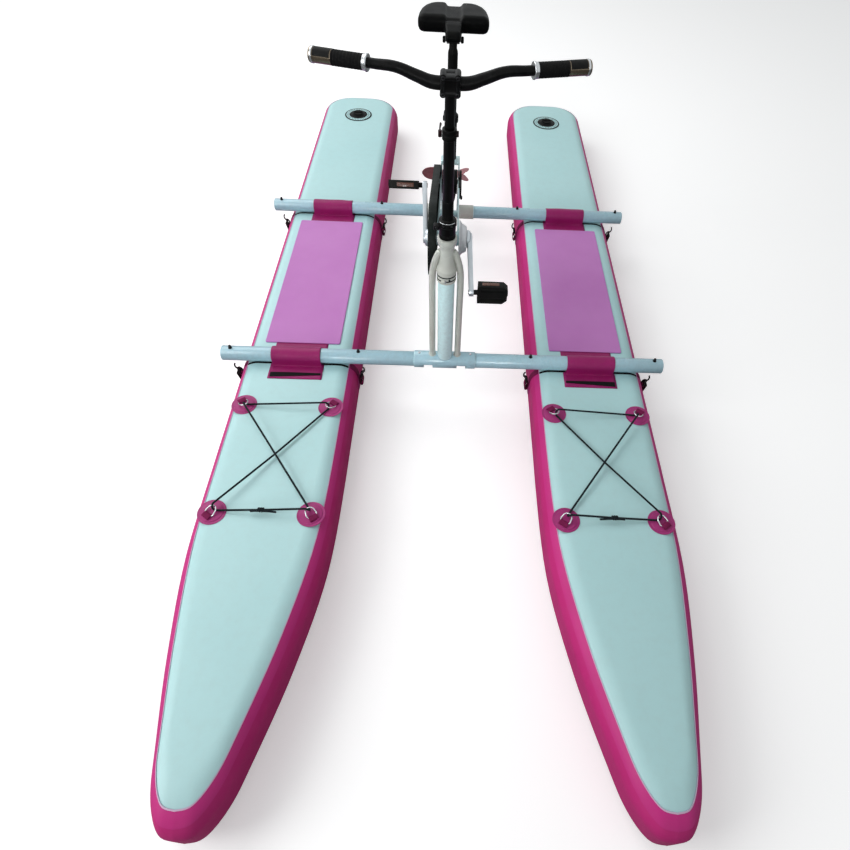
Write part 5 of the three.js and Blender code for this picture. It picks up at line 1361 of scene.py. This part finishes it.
nacelle = turned("drive_nacelle", [
    (2, -66), (7, -64.5), (13, -60.5), (19, -51), (22.6, -39), (24.6, -24), (25, -8), (25, 20), (24, 34),
    (21.4, 46), (21, 48)], nacelle_at, LEG_BACK, steps=48, soft=0)
fit(as_one("drive_leg_dress", [leg_tube, nacelle]), BLACK_PAINT, "leg", ["drive_leg"])
hub_at = nacelle_at + LEG_BACK * 48.35
hub = turned("propeller_hub", [(20.4, 0), (21, 0.8), (21, 20), (19.6, 29), (16, 37.5), (10, 43.5), (4, 46)],
             hub_at, LEG_BACK, soft=0)


def blade():
    """One blade: a leaf with a twist, thick at its root and thin at its rim."""
    def spot(u, v):
        along = 12 + 121 * v
        rise = min(1, v / 0.6)
        half = 12 + 31 * rise ** 2 * (3 - 2 * rise)
        if v > 0.66:
            half *= math.sqrt(max(1 - ((v - 0.66) / 0.342) ** 2, 0))
        lead = -half * 1.06
        trail = half * 0.94
        chord = lead + (trail - lead) * u
        twist = math.radians(44 - 14 * v)
        bow = 5 * math.sin(math.pi * u) * (1 - v * 0.5)
        side = chord * math.cos(twist) - bow * math.sin(twist)
        return along, side, chord * math.sin(twist) + bow * math.cos(twist)
    return cloth("propeller_blade", 10, 14, spot, 3.2)


leaf = blade()
spin_frame = Matrix.Translation(hub_at * MM) @ Matrix.Rotation(LEG_LEAN - math.pi / 2, 4, "X")
lift = Matrix.Translation((0, 0, 18.4 * MM))
blade_turns = [Matrix.Rotation(math.pi + 2 * math.pi * k / 3, 4, "Z") for k in range(3)]
leaves = [again(leaf, f"propeller_blade_{k}", spin_frame @ lift @ turn) for k, turn in enumerate(blade_turns)]
bpy.data.objects.remove(leaf, do_unlink=True)
fit(as_one("propeller_dress", [hub] + leaves), BRONZE_PAINTED_REFLECTION, "screw", ["propeller"])

# Seat post, clamp, rails, lever and saddle

seat_post = turned("seat_post_dress", [
    (15, 620.4), (16, 621.4), (16, 926), (15.4, 932), (12.5, 942), (12.5, 966)],
    (0, SEAT_Y, 0), steps=44, soft=0.3)
clamp_block = block("seat_clamp", (40, 58, 21), (0, SEAT_Y, 973.6), soft=3.4, dish=((0, -1, 0), 5, 2))
RAIL_LINE = [(9, 204, 992), (14, 222, 984), (21, 250, 979), (21, SEAT_Y, 978), (21, 330, 979), (24, 372, 990)]
rails = [bent(f"seat_rail_{side}", [(side * x, y, z) for x, y, z in RAIL_LINE], 3.5, fine=6)
         for side in (-1, 1)]
fit(as_one("seat_rails", rails), DARK_STEEL, "seat")
fit(as_one("seat_post_black", [seat_post, clamp_block]), BLACK_PAINT, "seat", ["seat_post"])
KNOB_LINE = [(4, 18), (4, 27), (8.4, 28), (9.4, 30), (9.4, 35), (7, 37), (3, 37)]
for side in (-1, 1):
    knob = turned(f"seat_clamp_knob_{side}", KNOB_LINE, (-side * 4, SEAT_Y - 8, 968), (side, 0, 0),
                  steps=24, soft=0.4)
    fit(knob, MOULDED, "seat")
seat_lever = quick_lever("seat_lever", -24.85, SEAT_Y, 724)
fit(seat_lever, BLACK_PAINT, "seat_quick_lever", ["seat_lever"])
seat_ring = pipe("seat_tube_clamp", 23.6, 20.1, 714, 736, (0, SEAT_Y, 0), (0, 0, 1), 44, 0.8)
fit(seat_ring, BLACK_PAINT)


def saddle_cover():
    """The saddle's padded shell: two square lobes with a channel between them, and a narrow nose."""
    edge = [(108, 270), (109, 290), (108, 318), (103, 350), (93, 378), (76, 399), (58, 408), (40, 409.5),
            (18, 407)]
    outline = edge + [(-x, y) for x, y in reversed(edge)]
    wings = plate("saddle_wings", outline, 49, Matrix.Translation((0, 0, SADDLE_FOOT + 0.4)), soft=16)
    side_view = [(188, 999), (190, 1010), (202, 1018), (240, 1024), (300, 1026), (300, 987), (240, 987),
                 (204, 988), (191, 992)]
    lying = Matrix(((0, 0, 1, -26), (1, 0, 0, 0), (0, 1, 0, 0), (0, 0, 0, 1)))
    nose = plate("saddle_nose", side_view, 52, lying, soft=9)
    for point in nose.data.vertices:
        point.co.x *= 0.8 + 0.24 * min(1, max(0, (point.co.y / MM - 188) / 70))
    piece = as_one("saddle_padding", [wings, nose])
    take(piece)
    modified(piece, "REMESH", voxel_size=3 * MM)
    modified(piece, "SMOOTH", factor=0.6, iterations=8)
    for point in piece.data.vertices:
        x, y, z = point.co / MM
        top = min(1, max(0, (z - SADDLE_FOOT - 22) / 14))
        wall = 1 / (1 + math.exp((abs(x) - 24) / 1.8))
        behind = min(1, max(0, (y - 262) / 16))
        point.co.z -= 8.5 * wall * top * behind * MM
        point.co.y -= 5 * wall * min(1, max(0, (y - 380) / 20)) * MM
    bpy.ops.object.shade_smooth()
    return piece


fit(saddle_cover(), VINYL, "seat", ["saddle"])


# Floor, world and lamps: each lamp's place, aim, width, power and spread

LAMPS = (
    ((-3.9, -1.9, 2.6), (0, 0, 0.3), 2.8, 98, 180),
    ((-2.6, 2.2, 3.7), (0, 0.3, 0.3), 4.0, 112, 180),
    ((-0.5, -3.6, 1.5), (0, -0.35, 0.5), 0.8, 1.3, 32),
)


def set_stage():
    put_down()
    bpy.ops.mesh.primitive_plane_add(size=30, location=(0, 0, -0.001))
    floor = called("studio_floor")
    look = bpy.data.materials.new("pale_floor")
    look.use_nodes = True
    tree = look.node_tree
    shader = tree.nodes["Principled BSDF"]
    shader.inputs["Roughness"].default_value = 1
    shader.inputs["Specular IOR Level"].default_value = 0
    shader.inputs["Emission Color"].default_value = (1, 1, 1, 1)
    path = tree.nodes.new("ShaderNodeLightPath")
    shown = path.outputs["Is Camera Ray"]
    tree.links.new(sum_of(tree, "MULTIPLY_ADD", shown, 0.6, 0.32), shader.inputs["Base Color"])
    tree.links.new(sum_of(tree, "MULTIPLY", shown, 0.34), shader.inputs["Emission Strength"])
    floor.data.materials.append(look)
    world = bpy.data.worlds.new("studio")
    bpy.context.scene.world = world
    world.use_nodes = True
    tree = world.node_tree
    sky = tree.nodes["Background"]
    sky.inputs["Color"].default_value = (0.96, 0.99, 1, 1)
    path = tree.nodes.new("ShaderNodeLightPath")
    shown = sum_of(tree, "MAXIMUM", path.outputs["Is Camera Ray"], path.outputs["Is Transmission Ray"])
    level = sum_of(tree, "MULTIPLY_ADD", shown, 0.64, 0.36)
    strength = sum_of(tree, "MULTIPLY_ADD", path.outputs["Is Glossy Ray"], 0.64, level)
    tree.links.new(strength, sky.inputs["Strength"])
    for spot, aim, size, power, spread in LAMPS:
        put_down()
        bpy.ops.object.light_add(type="AREA", location=spot)
        lamp = bpy.context.object
        lamp.data.shape = "DISK"
        lamp.data.size = size
        lamp.data.energy = power
        lamp.data.spread = math.radians(spread)
        lamp.rotation_euler = (Vector(aim) - Vector(spot)).to_track_quat("-Z", "Y").to_euler()
    bpy.context.scene.view_settings.view_transform = "Standard"


set_stage()
